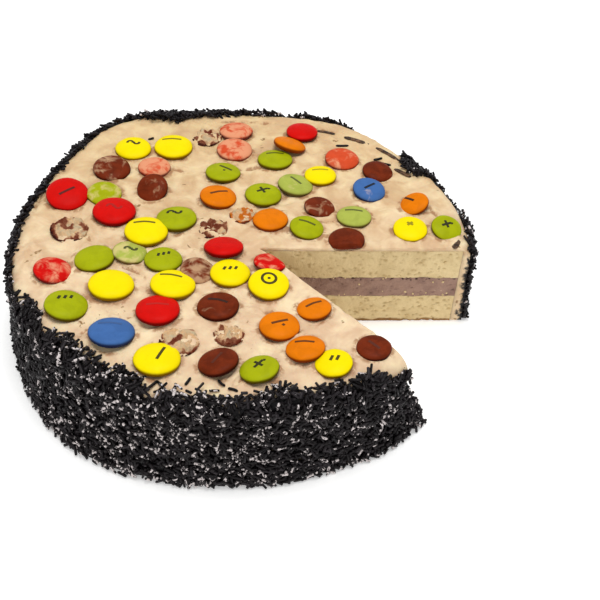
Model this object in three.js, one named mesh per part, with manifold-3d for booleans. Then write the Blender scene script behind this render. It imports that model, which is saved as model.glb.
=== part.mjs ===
// A round chocolate candy cake with one wedge cut out.
// Two sponge layers hold a nut cream filling. A thin cream icing covers the top and the side,
// dark chocolate sprinkles coat the side down to a wider foot, and candy-coated chocolate
// sweets are pressed into the top.
// Millimetres, +Z up. The origin is on the surface that the cake stands on, under its middle.
// Angles are in degrees, anticlockwise from +X as seen from above.

import * as THREE from 'three';
import { mergeVertices } from 'three/addons/utils/BufferGeometryUtils.js';
import Module from 'manifold-3d';

const wasm = await Module();
wasm.setup();

// Driving dimensions of the cake
const CAKE_HEIGHT = 56;
const WALL_RADIUS = 125;
const WALL_SIDES = 72;
const CREAM_SIDE = 4;
const CREAM_TOP = 2.5;
const LOWER_SPONGE_HEIGHT = 20;
const FILLING_HEIGHT = 14;
const GAP = 0.3;
const ICING_LIFT = 0.5;

// The icing's outline: how far the coat tucks in below, the heights of its rings as parts of the
// cake's height, and the rounded top edge with the height where it begins
const FOOT_TUCK = 2;
const COAT_RINGS = [0.06, 0.2, 0.42, 0.66, 0.88];
const TOP_EDGE_BEGINS = 0.97;
const TOP_EDGE_OUTER = 2;
const TOP_EDGE_INNER = 8;

// The wedge that was cut out: where the two cuts meet and the way each one runs
const WEDGE_TIP = [8, -12];
const BACK_CUT_ANGLE = -1;
const FRONT_CUT_ANGLE = -50;
const CUTTER_REACH = 260;

// Where the hand-made side swells beyond a true circle: angle, half width in degrees, millimetres
const SWELLS = [
  [125, 21, 13],
  [60, 15, 6],
  [14, 22, 2],
  [-75, 30, -3],
];

// The coat of sprinkles, thin at the top edge and heaped at the foot, in some places more than
// in others: angle, half width in degrees, millimetres
const COAT_AT_EDGE = 3;
const COAT_AT_FOOT = 4;
const FOOT_HEAPS = [
  [180, 16, 5],
  [-130, 24, 8],
  [-75, 25, 1.5],
  [-56, 8, 3.5],
];
const HEAP_HEIGHT = 18;
const LUMP_DEPTH = 0.7;

// Waves that make the coat lumpy: waves round the cake, radians added for each mm up, phase
const LUMP_WAVES = [
  [9, 0.31, 0],
  [17, -0.23, 1],
];

// Sprinkles that stand out from the coat
const SPRINKLE_RADIUS = 0.9;
const SIDE_LENGTHS = [4.2, 6.6];
const EDGE_LENGTHS = [3.6, 5.4];
const SPRINKLE_SIDES = 5;
const SPRINKLES_ON_SIDE = 112;
const SPRINKLES_ON_EDGE = 36;
const SPRINKLE_SEED = 20;
const GOLDEN_TURN = 0.618034;
const SIDE_STRAY = 6;
const SIDE_LEANS = [-0.1, 0.4];
const SIDE_STANDS_OUT = 0.25;
const BELOW_TOP_EDGE = 4;
const EDGE_INSETS = [0, 1];
const EDGE_TURNS = [60, 120];
const EDGE_LEANS = [0, 0.15];
const EDGE_BELOW_TOP = 1;
const STANDING_OUT = 2;
const STANDING_UP = 1.5;
const STANDING_LEAN = 0.9;
const SWEET_CLEARANCE = 2;
const KNIFE_CLEARANCE = 4;

// Where sprinkles stand up along the back rim: angle, half width in degrees
const STANDING_RIM = [
  [125, 42],
  [40, 14],
];

// Sweets are flat lenses
const SWEET_THICKNESS = 0.3;
const SWEET_SIDES = 12;
const SWEET_SHOULDER = 0.76;
const SWEET_SHOULDER_HEIGHT = 0.72;
const SWEET_SINK = 2;
const NEIGHBOUR_SLACK = 1;

// The sweets of each colour as they lie on top: millimetres right of and behind the middle,
// how wide each is, how many degrees it leans, the way it leans, and how far others lift it
const SWEETS = {
  yellow: [
    [-67, 81.5, 22, 3, 315, 0],
    [-42.5, 83, 23.5, 2, 330, 0],
    [-53.5, 0, 24, 4, 20, 0.9],
    [-68.5, -42.5, 24, 7, 40, 0],
    [-37, -43.5, 23.5, 8, 45, 0.7],
    [-42, -95, 23, 7, 65, 0],
    [-7.5, -34.5, 21.5, 3, 30, 0.5],
    [12.5, -44.5, 21.5, 6, 300, 1.5],
    [46, 52, 19.5, 3, 85, 0.7],
    [93, 1.5, 19.5, 6, 250, 0],
    [42, -99.5, 18.5, 7, 160, 0.6],
  ],
  red: [
    [-100.5, 33.5, 24, 14, 300, 0.5],
    [-72.5, 18, 24, 4, 10, 0.8],
    [-100, -30.5, 20, 13, 5, 0],
    [-43.5, -62.5, 22.5, 6, 75, 1.2],
    [-11, -13.5, 21.5, 14, 85, 0],
    [13.5, -26, 17.5, 14, 55, 0],
    [37.5, 98.5, 20, 3, 75, 0.9],
  ],
  salmon: [
    [-53, 62.5, 19.5, 3, 25, 0],
    [-4, 100.5, 21, 6, 90, 0],
    [-5, 79.5, 22, 3, 335, 0.2],
    [60.5, 69.5, 21, 4, 330, 0],
  ],
  orange: [
    [-14.5, 32, 21.5, 8, 20, 0],
    [15, 11, 20, 3, 105, 0],
    [29, 82.5, 20.5, 22, 45, 0.5],
    [98.5, 23.5, 17, 23, 195, 0],
    [17, -74, 20.5, 3, 65, 0.5],
    [35, -61.5, 18, 10, 130, 0],
    [29, -89.5, 19.5, 12, 125, 0],
  ],
  green: [
    [-80, 36, 20, 8, 315, 0],
    [-37.5, 12, 23, 5, 90, 0],
    [-79.5, -21, 21.5, 5, 145, 0],
    [-43, -22.5, 20.5, 5, 50, 0],
    [-89.5, -57.5, 22, 12, 15, 0],
    [6.5, -102.5, 19.5, 14, 135, 0],
    [19.5, 69, 21.5, 6, 75, 0],
    [-12, 56, 21, 7, 65, 0],
    [11.5, 34, 21.5, 3, 35, 0],
    [35, 3.5, 19.5, 8, 350, 0],
    [113.5, 1.5, 17.5, 18, 295, 0],
  ],
  pale_green: [
    [-61, -16.5, 19, 11, 25, 0],
    [30.5, 43, 21, 9, 20, 0],
    [62.5, 13, 20, 4, 80, 0],
  ],
  blue: [
    [-65, -77, 23, 12, 65, 0],
    [73.5, 37, 19.5, 10, 315, 0.8],
  ],
  brown: [
    [-78, 60.5, 22, 8, 310, 0],
    [-52.5, 38.5, 18.5, 30, 250, 0],
    [-24.5, -32, 18.5, 14, 335, 0],
    [-13.5, -59, 21.5, 5, 110, 0],
    [-13, -97.5, 20, 14, 140, 0],
    [81, 56.5, 18.5, 9, 320, 0],
    [43.5, 22, 18, 8, 345, 0],
    [56.5, -6.5, 20.5, 4, 150, 0],
    [62.5, -89, 17.5, 3, 135, 0],
  ],
};

// Sweets sunk so deep that only a low smeared lump of cream shows: right, behind, width
const SUNK_SWEETS = [
  [-96, 4, 20],
  [-32, -83, 18],
  [-8, -79, 15],
  [-22, 94, 18],
  [-1, 16, 14],
  [-17, 4, 15],
];
const SUNK_SWEET_STANDS = 1.6;
const SUNK_SWEET_DEPTH = 0.3;

// Finishes: colour, roughness
const FINISHES = {
  yellow: [0xf9e61e, 0.4],
  red: [0xdc281c, 0.4],
  salmon: [0xdf6a58, 0.5],
  orange: [0xec7e16, 0.4],
  green: [0xb4b924, 0.4],
  pale_green: [0xb9c065, 0.5],
  blue: [0x4d74ab, 0.45],
  brown: [0x7b311a, 0.45],
  cream: [0xefd2a9, 0.6],
  filling: [0x86695c, 0.7],
  sponge: [0xc7ae7f, 0.9],
};

// Corners nearer than this are one corner
const MERGE_WITHIN = 1e-4;

const radians = THREE.MathUtils.degToRad;

// The smallest angle between two directions, in degrees
function angleBetween(a, b) {
  const turn = Math.abs(a - b) % 360;
  return Math.min(turn, 360 - turn);
}

// What smooth bumps round the cake add up to in one direction
function bumpsAt(bumps, angle) {
  let sum = 0;
  for (const [middle, halfWidth, amount] of bumps) {
    const away = angleBetween(angle, middle) / halfWidth;
    sum += amount * Math.exp(-away * away);
  }
  return sum;
}

// How far the side swells beyond the plain circle in one direction
function swellAt(angle) {
  return bumpsAt(SWELLS, angle);
}

// How upright the sprinkles of the top edge stand at an angle, from 0 to 1
function standingAt(angle) {
  let standing = 0;
  for (const [middle, halfWidth] of STANDING_RIM) {
    const away = angleBetween(angle, middle) / halfWidth;
    standing = Math.max(standing, Math.exp(-away * away));
  }
  return standing;
}

// Small lumps of the coat, repeated by smooth waves so that they close round the cake
function lumpAt(angle, height) {
  let lump = 0;
  for (const [waves, slant, phase] of LUMP_WAVES) {
    lump += Math.sin(waves * radians(angle) + slant * height + phase);
  }
  return (LUMP_DEPTH * lump) / LUMP_WAVES.length;
}

// A geometry's solid, with shared corners merged and the flat triangles at its poles dropped
function solidOf(geometry) {
  const bare = geometry.clone();
  bare.deleteAttribute('normal');
  bare.deleteAttribute('uv');
  const merged = mergeVertices(bare, MERGE_WITHIN);
  const corners = merged.index.array;
  const triangles = [];
  for (let i = 0; i < corners.length; i += 3) {
    const [a, b, c] = [corners[i], corners[i + 1], corners[i + 2]];
    if (a !== b && b !== c && c !== a) triangles.push(a, b, c);
  }
  return new wasm.Manifold(new wasm.Mesh({
    numProp: 3,
    vertProperties: merged.attributes.position.array,
    triVerts: Uint32Array.from(triangles),
  }));
}

// A solid's largest body: loose scraps and sealed hollows are left out
function largestBody(solid) {
  const bodies = solid.decompose();
  bodies.sort((a, b) => b.volume() - a.volume());
  return bodies[0];
}

// A closed body turned round the Z axis through rings that may be out of round.
// A ring is { radius, z, swell }, where swell gives the extra radius at each angle.
// The first and the last ring lie on the axis.
function turnedGeometry(rings, sides) {
  const profile = rings.map((ring) => new THREE.Vector2(ring.radius, ring.z));
  const lathe = new THREE.LatheGeometry(profile, sides);
  lathe.rotateX(Math.PI / 2);
  const place = lathe.attributes.position;
  for (let i = 0; i < place.count; i += 1) {
    const ring = rings[i % rings.length];
    if (!ring.swell) continue;
    const around = Math.atan2(place.getY(i), place.getX(i));
    const reach = ring.radius + ring.swell(THREE.MathUtils.radToDeg(around));
    place.setXY(i, reach * Math.cos(around), reach * Math.sin(around));
  }
  return lathe;
}

// A level layer of the cake between two heights, as wide as the side lets it be
function layerSolid(bottom, top) {
  const radius = WALL_RADIUS - CREAM_SIDE;
  return solidOf(turnedGeometry([
    { radius: 0, z: bottom },
    { radius, z: bottom, swell: swellAt },
    { radius, z: top, swell: swellAt },
    { radius: 0, z: top },
  ], WALL_SIDES));
}

// The wedge as a tall prism that takes its part out of everything it meets
function wedgeSolid() {
  const [tipX, tipY] = WEDGE_TIP;
  const outline = new THREE.Shape();
  outline.moveTo(tipX, tipY);
  for (const angle of [FRONT_CUT_ANGLE, BACK_CUT_ANGLE]) {
    const way = radians(angle);
    outline.lineTo(tipX + CUTTER_REACH * Math.cos(way), tipY + CUTTER_REACH * Math.sin(way));
  }
  outline.closePath();
  const depth = 2 * CAKE_HEIGHT;
  const prism = new THREE.ExtrudeGeometry(outline, { depth, bevelEnabled: false });
  prism.translate(0, 0, -CAKE_HEIGHT / 4);
  return solidOf(prism);
}

// How far a place on plan is from the nearer knife cut, less than nothing inside the wedge
function clearOfWedge(x, y) {
  const back = radians(BACK_CUT_ANGLE);
  const front = radians(FRONT_CUT_ANGLE);
  const behindBack = (y - WEDGE_TIP[1]) * Math.cos(back) - (x - WEDGE_TIP[0]) * Math.sin(back);
  const beforeFront = (x - WEDGE_TIP[0]) * Math.sin(front) - (y - WEDGE_TIP[1]) * Math.cos(front);
  return Math.max(behindBack, beforeFront);
}

// The radius of the coated side at an angle and a height
function coatRadius(angle, height) {
  const heap = (COAT_AT_FOOT + bumpsAt(FOOT_HEAPS, angle)) * Math.exp(-height / HEAP_HEIGHT);
  return WALL_RADIUS + COAT_AT_EDGE + heap + swellAt(angle) + lumpAt(angle, height);
}

// The icing with its coat as one bare core: a cap over the sponge with a rounded top edge
function icingCore() {
  const coatRing = (height) => ({
    radius: WALL_RADIUS,
    z: height,
    swell: (angle) => coatRadius(angle, height) - WALL_RADIUS,
  });
  const inside = WALL_RADIUS - CREAM_SIDE + GAP;
  const top = CAKE_HEIGHT;
  return solidOf(turnedGeometry([
    { radius: 0, z: top - CREAM_TOP },
    { radius: inside, z: top - CREAM_TOP, swell: swellAt },
    { radius: inside, z: ICING_LIFT, swell: swellAt },
    { radius: WALL_RADIUS + COAT_AT_EDGE + FOOT_TUCK, z: ICING_LIFT, swell: swellAt },
    ...COAT_RINGS.map((part) => coatRing(part * top)),
    { radius: WALL_RADIUS - TOP_EDGE_OUTER, z: TOP_EDGE_BEGINS * top, swell: swellAt },
    { radius: WALL_RADIUS - TOP_EDGE_INNER, z: top, swell: swellAt },
    { radius: 0, z: top },
  ], WALL_SIDES));
}

// A repeatable random number from 0 to 1
function randomNumbers(seed) {
  let state = seed;
  return () => {
    state = (state * 1664525 + 1013904223) % 4294967296;
    return state / 4294967296;
  };
}

// A random number between two limits
function between(random, [low, high]) {
  return THREE.MathUtils.lerp(low, high, random());
}

// The direction out from the middle at an angle
function outward(angle) {
  return new THREE.Vector3(Math.cos(radians(angle)), Math.sin(radians(angle)), 0);
}

// A flat lens whose poles, shoulders and rim are set by its width and thickness
function lensGeometry(radius, halfThickness) {
  const shoulder = radius * SWEET_SHOULDER;
  const shoulderHeight = halfThickness * SWEET_SHOULDER_HEIGHT;
  return turnedGeometry([
    { radius: 0, z: -halfThickness },
    { radius: shoulder, z: -shoulderHeight },
    { radius, z: 0 },
    { radius: shoulder, z: shoulderHeight },
    { radius: 0, z: halfThickness },
  ], SWEET_SIDES);
}

// Where a sweet's middle is: it sinks a little into the icing and stands higher as it leans
function sweetCentre([x, y, across, lean, , lift]) {
  const rim = 0.5 * across * Math.sin(radians(lean));
  const pole = 0.5 * across * SWEET_THICKNESS * Math.cos(radians(lean));
  return new THREE.Vector3(x, y, CAKE_HEIGHT + Math.hypot(rim, pole) - SWEET_SINK + lift);
}

// A sweet in its place, or with a margin the pocket that it presses into the icing
function sweetSolid(sweet, margin = 0) {
  const [, , across, lean, towards] = sweet;
  const lens = lensGeometry(0.5 * across + margin, 0.5 * across * SWEET_THICKNESS + margin);
  const way = radians(towards);
  const hinge = new THREE.Vector3(-Math.sin(way), Math.cos(way), 0);
  const place = new THREE.Matrix4().makeRotationAxis(hinge, radians(lean));
  place.setPosition(sweetCentre(sweet));
  return solidOf(lens.applyMatrix4(place));
}

// Every sweet with its name. Where two touch, the one that lies lower makes room for the other
function placedSweets(wedge) {
  const all = [];
  for (const [colour, list] of Object.entries(SWEETS)) {
    list.forEach((sweet, index) => {
      const name = `sweet_${colour}_${index + 1}`;
      all.push({ name, colour, sweet, solid: sweetSolid(sweet).subtract(wedge) });
    });
  }
  const upwards = [...all].sort((one, other) => one.sweet[5] - other.sweet[5]);
  upwards.forEach((one, index) => {
    for (const other of upwards.slice(index + 1)) {
      const apart = Math.hypot(one.sweet[0] - other.sweet[0], one.sweet[1] - other.sweet[1]);
      if (apart > 0.5 * (one.sweet[2] + other.sweet[2]) + NEIGHBOUR_SLACK) continue;
      one.solid = one.solid.subtract(sweetSolid(other.sweet, GAP));
    }
    one.solid = largestBody(one.solid);
  });
  return all;
}

// One sprinkle lying along a direction at a place
function sprinkleSolid(place, along, length) {
  const grain = new THREE.CapsuleGeometry(SPRINKLE_RADIUS, length, 1, SPRINKLE_SIDES, 1);
  const turn = new THREE.Quaternion().setFromUnitVectors(new THREE.Vector3(0, 1, 0), along);
  grain.applyQuaternion(turn);
  grain.translate(place.x, place.y, place.z);
  return solidOf(grain);
}

// Sprinkles spread evenly over the coated side, each half sunk and turned at random
function sideSprinkles(random) {
  const grains = [];
  for (let i = 0; i < SPRINKLES_ON_SIDE; i += 1) {
    const angle = 360 * ((i * GOLDEN_TURN) % 1) + SIDE_STRAY * random();
    const length = between(random, SIDE_LENGTHS);
    const slope = Math.PI * random();
    const lowest = ICING_LIFT + SPRINKLE_RADIUS + 0.5 * length * Math.sin(slope);
    const room = CAKE_HEIGHT - BELOW_TOP_EDGE - 2 * lowest;
    const height = lowest + (room * (i + random())) / SPRINKLES_ON_SIDE;
    const out = outward(angle);
    const place = out.clone().multiplyScalar(coatRadius(angle, height) + SIDE_STANDS_OUT);
    place.setZ(height);
    const along = new THREE.Vector3(-out.y, out.x, 0).multiplyScalar(Math.cos(slope));
    along.z += Math.sin(slope);
    along.addScaledVector(out, between(random, SIDE_LEANS)).normalize();
    if (clearOfWedge(place.x, place.y) < KNIFE_CLEARANCE) continue;
    grains.push(sprinkleSolid(place, along, length));
  }
  return grains;
}

// Whether a sprinkle would touch one of the sweets
function nearSweet(place, length) {
  return Object.values(SWEETS).flat().some(([x, y, across]) => (
    Math.hypot(place.x - x, place.y - y) < 0.5 * (across + length) + SWEET_CLEARANCE
  ));
}

// Sprinkles on the rounded top edge, where no sweet lies, some of them standing up
function edgeSprinkles(random) {
  const grains = [];
  for (let i = 0; i < SPRINKLES_ON_EDGE; i += 1) {
    const angle = (360 * (i + 0.5 * random())) / SPRINKLES_ON_EDGE;
    const standing = standingAt(angle);
    const reach = WALL_RADIUS - between(random, EDGE_INSETS) + STANDING_OUT * standing;
    const place = outward(angle).multiplyScalar(reach + swellAt(angle));
    place.setZ(CAKE_HEIGHT - EDGE_BELOW_TOP + STANDING_UP * standing);
    const along = outward(angle + between(random, EDGE_TURNS));
    along.z = between(random, EDGE_LEANS) + STANDING_LEAN * standing * random();
    along.normalize();
    const length = between(random, EDGE_LENGTHS);
    if (nearSweet(place, length) || clearOfWedge(place.x, place.y) < KNIFE_CLEARANCE) continue;
    grains.push(sprinkleSolid(place, along, length));
  }
  return grains;
}

// The icing with its sprinkles and sunk sweets, cut by the knife and by the sweets' pockets
function icingSolid(wedge) {
  const random = randomNumbers(SPRINKLE_SEED);
  let icing = icingCore();
  for (const grain of [...sideSprinkles(random), ...edgeSprinkles(random)]) icing = icing.add(grain);
  for (const [x, y, across] of SUNK_SWEETS) {
    const lump = lensGeometry(0.5 * across, SUNK_SWEET_STANDS + SUNK_SWEET_DEPTH);
    lump.translate(x, y, CAKE_HEIGHT - SUNK_SWEET_DEPTH);
    icing = icing.add(solidOf(lump));
  }
  for (const sweet of Object.values(SWEETS).flat()) icing = icing.subtract(sweetSolid(sweet, GAP));
  return largestBody(icing.subtract(wedge));
}

// A named mesh from a solid, with its own finish and its place as the mesh's position
function pieceOf(name, solid, finish, place = new THREE.Vector3()) {
  const made = solid.getMesh();
  const geometry = new THREE.BufferGeometry();
  const position = new THREE.BufferAttribute(Float32Array.from(made.vertProperties), 3);
  geometry.setAttribute('position', position);
  geometry.setIndex(new THREE.BufferAttribute(Uint32Array.from(made.triVerts), 1));
  geometry.translate(-place.x, -place.y, -place.z);
  geometry.computeVertexNormals();
  const [color, roughness] = FINISHES[finish];
  const material = new THREE.MeshStandardMaterial({ color, roughness, metalness: 0, flatShading: true });
  const mesh = new THREE.Mesh(geometry, material);
  mesh.name = name;
  mesh.position.copy(place);
  return mesh;
}

// The two sponge layers, the filling between them and the icing over them
function cakeBody(wedge) {
  const body = new THREE.Group();
  const fillingTop = LOWER_SPONGE_HEIGHT + FILLING_HEIGHT;
  const layers = [
    ['sponge_bottom', 0, LOWER_SPONGE_HEIGHT, 'sponge'],
    ['filling', LOWER_SPONGE_HEIGHT + GAP, fillingTop, 'filling'],
    ['sponge_top', fillingTop + GAP, CAKE_HEIGHT - CREAM_TOP - GAP, 'sponge'],
  ];
  for (const [name, bottom, top, finish] of layers) {
    body.add(pieceOf(name, layerSolid(bottom, top).subtract(wedge), finish));
  }
  body.add(pieceOf('icing', icingSolid(wedge), 'cream'));
  return body;
}

// The sweets on top
function sweetTopping(wedge) {
  const topping = new THREE.Group();
  for (const { name, colour, sweet, solid } of placedSweets(wedge)) {
    topping.add(pieceOf(name, solid, colour, sweetCentre(sweet)));
  }
  return topping;
}

const wedge = wedgeSolid();
const cake = new THREE.Group();
cake.name = 'chocolate_candy_cake';
cake.add(cakeBody(wedge), sweetTopping(wedge));

export default cake;
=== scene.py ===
import math

import bmesh
import bpy
import numpy as np
from bpy.props import FloatProperty, FloatVectorProperty, IntProperty, PointerProperty
from mathutils import Matrix, Vector, noise


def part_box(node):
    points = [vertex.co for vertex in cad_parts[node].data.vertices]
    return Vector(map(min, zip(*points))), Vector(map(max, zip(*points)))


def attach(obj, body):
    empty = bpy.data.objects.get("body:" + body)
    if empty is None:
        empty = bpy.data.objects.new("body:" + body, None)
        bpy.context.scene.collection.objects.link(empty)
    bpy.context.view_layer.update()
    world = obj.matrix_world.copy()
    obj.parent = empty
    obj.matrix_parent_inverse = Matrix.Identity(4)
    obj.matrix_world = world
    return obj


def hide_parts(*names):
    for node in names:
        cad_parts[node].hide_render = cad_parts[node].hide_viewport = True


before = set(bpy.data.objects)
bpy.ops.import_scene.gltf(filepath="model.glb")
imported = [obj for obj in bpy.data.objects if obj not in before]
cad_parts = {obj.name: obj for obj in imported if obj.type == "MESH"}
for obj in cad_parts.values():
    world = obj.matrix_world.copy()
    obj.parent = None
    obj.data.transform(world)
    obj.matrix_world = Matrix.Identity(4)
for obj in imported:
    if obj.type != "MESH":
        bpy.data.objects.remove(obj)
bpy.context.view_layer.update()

bl_info = {
    "name": "Chocolate candy cake",
    "version": (1, 0, 0),
    "blender": (4, 5, 0),
    "location": "View3D > Sidebar > Cake",
    "description": "A round cream cake with a wedge cut out, sprinkles on its side and sweets on top",
    "category": "Object",
}

MM = 0.001

# Where the layers meet, from the solids
LOWER_FOOT, LOWER_TOP = (corner.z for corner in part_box("sponge_bottom"))
FILLING_FOOT, FILLING_TOP = (corner.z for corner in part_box("filling"))
UPPER_FOOT, UPPER_TOP = (corner.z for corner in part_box("sponge_top"))
LOWER_JOIN = 0.5 * (LOWER_TOP + FILLING_FOOT)
UPPER_JOIN = 0.5 * (FILLING_TOP + UPPER_FOOT)
CREAM_LEVEL = UPPER_TOP + 2.8 * MM

# The cream and its coat on the side: how far out of the sponge they reach
CREAM_SIDE = 4 * MM
CREAM_FOOT = 0.6 * MM
COAT_AT_FOOT = 2.6 * MM
HEAP_HEIGHT = 18 * MM
# Where the heap of sprinkles at the foot is deeper: angle seen from the middle, half width, millimetres
FOOT_HEAPS = [(180, 16, 5), (-130, 24, 6.5), (-75, 25, 1), (-56, 8, 2)]
ROUNDING_IN = 8 * MM
ROUNDING_OUT = 0.8 * MM
ROUNDING_DOWN = 8 * MM

# How far the cream's edge stands above the level top: angle, millimetres
RIM_RISE = [
    (-180, 0.5), (-120, 0), (20, 0), (84, 0.5), (104, 1), (118, 2.5), (130, 2.5), (140, 0.5), (180, 0.5),
]
RIM_WIDTH = 18 * MM

# How far the sprinkles lap over the top edge: angle, millimetres
LAP = [
    (-180, -3), (-166, -7), (-160, -7), (-156, -5), (-153, 0), (-150, 0), (-145, -3), (-140, 1),
    (-132, 4), (-127, 2), (-124, 0), (-120, 3), (-115, 3), (-112, -3), (-108, 1), (-104, -2), (-100, 1),
    (-96, -1), (-92, -2), (-88, 0), (-84, 1), (-79, 1), (-75, -2), (-72, 0), (-67, -2), (-60, -2),
    (-57, -7), (-54, -9), (0, -6), (5, -7), (9, -9.5), (20, -10), (24, -7), (28, 3), (33, 5), (37, -2),
    (40, -13), (56, -13), (59, -5), (78, -5), (82, -2), (88, -1), (94, 1), (100, 3), (106, 4), (110, 9),
    (113, 7), (117, 5), (122, -4), (130, -4), (145, -2), (165, -3), (172, -4), (178, -4), (180, -3),
]
# How many sprinkles stand up along the top edge, from 0 to 1
STANDING = [
    (-180, 0.3), (-150, 0.3), (-60, 0.2), (-8, 0.7), (-2, 0.9), (6, 0.9), (8, 0.1), (20, 0.15), (23, 0.9),
    (37, 1), (40, 0), (56, 0), (58, 0.6), (64, 0.1), (68, 0.8), (73, 0.7), (75, 0.05), (78, 0.05),
    (81, 0.6), (96, 0.8), (140, 0.8), (180, 0.4),
]

# Sweets that the knife cut or that lie against a neighbour, which their own solid can't give:
# millimetres right and behind, width, lean, the way it leans, lift
LEANING_SWEETS = {
    "sweet_yellow_5": (-37, -43.5, 23.5, 8, 45, 0.7),
    "sweet_red_6": (13.5, -26, 17.5, 14, 55, 0),
    "sweet_orange_3": (29, 82.5, 20.5, 22, 45, 0.5),
    "sweet_orange_7": (29, -89.5, 19.5, 12, 125, 0),
    "sweet_green_1": (-80, 36, 20, 8, 315, 0),
    "sweet_green_2": (-37.5, 12, 23, 5, 90, 0),
    "sweet_pale_green_1": (-61, -16.5, 19, 11, 25, 0),
    "sweet_pale_green_2": (30.5, 43, 21, 9, 20, 0),
    "sweet_brown_3": (-24.5, -32, 18.5, 14, 335, 0),
    "sweet_brown_8": (56.5, -6.5, 20.5, 4, 150, -0.8),
    "sweet_brown_9": (62.5, -89, 17.5, 3, 135, 0),
}
SWEET_THICKNESS = 0.3
SWEET_SINK = 2 * MM
SWEET_ROUNDNESS = 2.5
WHOLE_SWEET_CORNERS = 38

# Painted shade: how much darker and yellower the cream's colour is painted towards the back
CREAM_BACK_SHADE = (0.88, 0.83, 0.7)
# Painted shade on the underside of a sweet, where its shadow falls, and on the front edge of a sunk sweet
UNDER_SHADE = (0.27, 0.17, 0.22)

# The ink mark of a sweet: shape, turn in degrees, how far its middle is right and up in parts of the
# sweet's radius, strength
MARKS = {
    "sweet_yellow_1": ("curls", 0, 0, 0.25, 1),
    "sweet_yellow_2": ("dash", 0, -0.1, 0.35, 0.8),
    "sweet_yellow_3": ("dash", 2, -0.1, 0.35, 0.9),
    "sweet_yellow_5": ("dash", -8, -0.1, 0.35, 0.9),
    "sweet_yellow_6": ("slash", 70, 0.15, 0.1, 1),
    "sweet_yellow_7": ("ticks", 5, 0, 0.1, 1),
    "sweet_yellow_8": ("ring", 0, 0, 0.15, 1),
    "sweet_yellow_9": ("dash", 0, 0, 0.3, 0.6),
    "sweet_yellow_10": ("small_cross", 0, 0, 0.2, 0.7),
    "sweet_yellow_11": ("pair", 0, 0.05, 0.15, 1),
    "sweet_red_1": ("slash", 38, 0, 0, 0.9),
    "sweet_red_2": ("curls", 0, 0, 0.05, 0.4),
    "sweet_red_4": ("dash", 0, 0, 0.1, 0.25),
    "sweet_orange_1": ("dash", 22, 0, 0.1, 0.9),
    "sweet_orange_4": ("slash", -45, -0.25, 0.35, 1),
    "sweet_orange_5": ("ticked", 18, 0, 0.05, 0.9),
    "sweet_orange_6": ("dash", 24, 0, 0.15, 0.9),
    "sweet_orange_7": ("dash", -12, 0, 0.25, 0.9),
    "sweet_green_2": ("curls", 10, -0.1, 0.2, 1),
    "sweet_green_4": ("ticks", 20, 0, 0.2, 1),
    "sweet_green_5": ("ticks", 15, -0.1, 0.3, 1),
    "sweet_green_6": ("cross", 20, 0, 0.1, 1),
    "sweet_green_7": ("dash", 0, 0, 0.3, 0.8),
    "sweet_green_8": ("ticked", -35, 0.15, 0.1, 0.9),
    "sweet_green_9": ("cross", 0, -0.05, 0.1, 1),
    "sweet_green_10": ("dash", -22, 0, 0.2, 0.8),
    "sweet_green_11": ("cross", -8, -0.05, 0.15, 1),
    "sweet_pale_green_1": ("curls", 10, 0, 0.05, 0.9),
    "sweet_pale_green_2": ("slash", -48, 0, 0.1, 0.8),
    "sweet_pale_green_3": ("dash", -8, 0, 0.3, 0.8),
    "sweet_blue_1": ("dash", 0, -0.1, 0.3, 0.3),
    "sweet_blue_2": ("slash", 36, 0, 0.1, 1),
    "sweet_brown_4": ("dash", -20, 0, 0.15, 0.9),
    "sweet_brown_5": ("slash", 55, 0, 0, 0.5),
    "sweet_brown_9": ("slash", -50, 0, 0, 0.5),
}
# How much of a sweet is bloomed or smeared with cream
BLOOM = {
    "sweet_blue_2": 0.34, "sweet_brown_1": 0.54, "sweet_brown_2": 0.42, "sweet_brown_3": 0.7,
    "sweet_brown_4": 0.22, "sweet_brown_5": 0.24, "sweet_brown_6": 0.34, "sweet_brown_7": 0.5,
    "sweet_brown_8": 0.1, "sweet_brown_9": 0.2, "sweet_green_1": 0.6, "sweet_orange_1": 0.12,
    "sweet_pale_green_1": 0.66, "sweet_pale_green_2": 0.42, "sweet_pale_green_3": 0.36,
    "sweet_red_3": 0.66, "sweet_red_6": 0.58, "sweet_red_7": 0.12, "sweet_salmon_1": 0.8,
    "sweet_salmon_2": 0.76, "sweet_salmon_3": 0.82, "sweet_salmon_4": 0.5, "sweet_yellow_8": 0.08,
}

# How dark the patches of a sugar shell are, where that isn't 0.75
SHELL_DEPTH = {"yellow": 0.9, "brown": 0.3}

# Sweets sunk in the cream: colour, millimetres right and behind, width, and how much of the shell shows
SUNK_SWEETS = [
    ("brown", -96, 4, 20, 0.55), ("brown", -32, -83, 19, 0.5), ("brown", -8, -79, 15, 0.22),
    ("brown", -22, 94, 18, 0.7), ("orange", -1, 16, 14, 0.6), ("brown", -17, 4, 16, 0.85),
]
SUNK_STANDS = 1.9 * MM

# Loose sprinkles on the cream: millimetres right and behind, turn, length, bend in degrees, any lift
STRAYS = [
    (61.5, 80.5, 0, 8, 10, 3.4), (86, 66, -25, 9, 30), (83, 71, 20, 6, 15), (-57, 94, 30, 4, 40),
    (-112, -49, 20, 6, 80), (-110.5, -51.5, 70, 5, 20), (-108.5, -52.5, -20, 5, 20),
    (-111.5, -48, 100, 4, 20), (-109.5, -49.5, 140, 5, 20), (-105, -55, 80, 6, 60), (-96, 45, 60, 5, 60),
    (-102, -60, 130, 6, 30), (-68, -98.5, -20, 9, 30), (-54.9, -102.4, -30, 10, -40),
    (-49.8, -107.6, -78, 9, -30), (-57, -105.5, 13, 8, 10), (-61, -103.5, -35, 8, 10),
    (-44.1, -110.6, 47, 9, 10), (-38.6, -111.5, -62, 10, -20), (-27, -108, 62, 5, 10),
    (-11.6, -109.6, -50, 5, 35), (-6, -113.5, -22, 5, -30), (-32.8, -116.6, 60, 6, 10),
    (-28.9, -116.8, -34, 7, 10),
]
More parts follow.
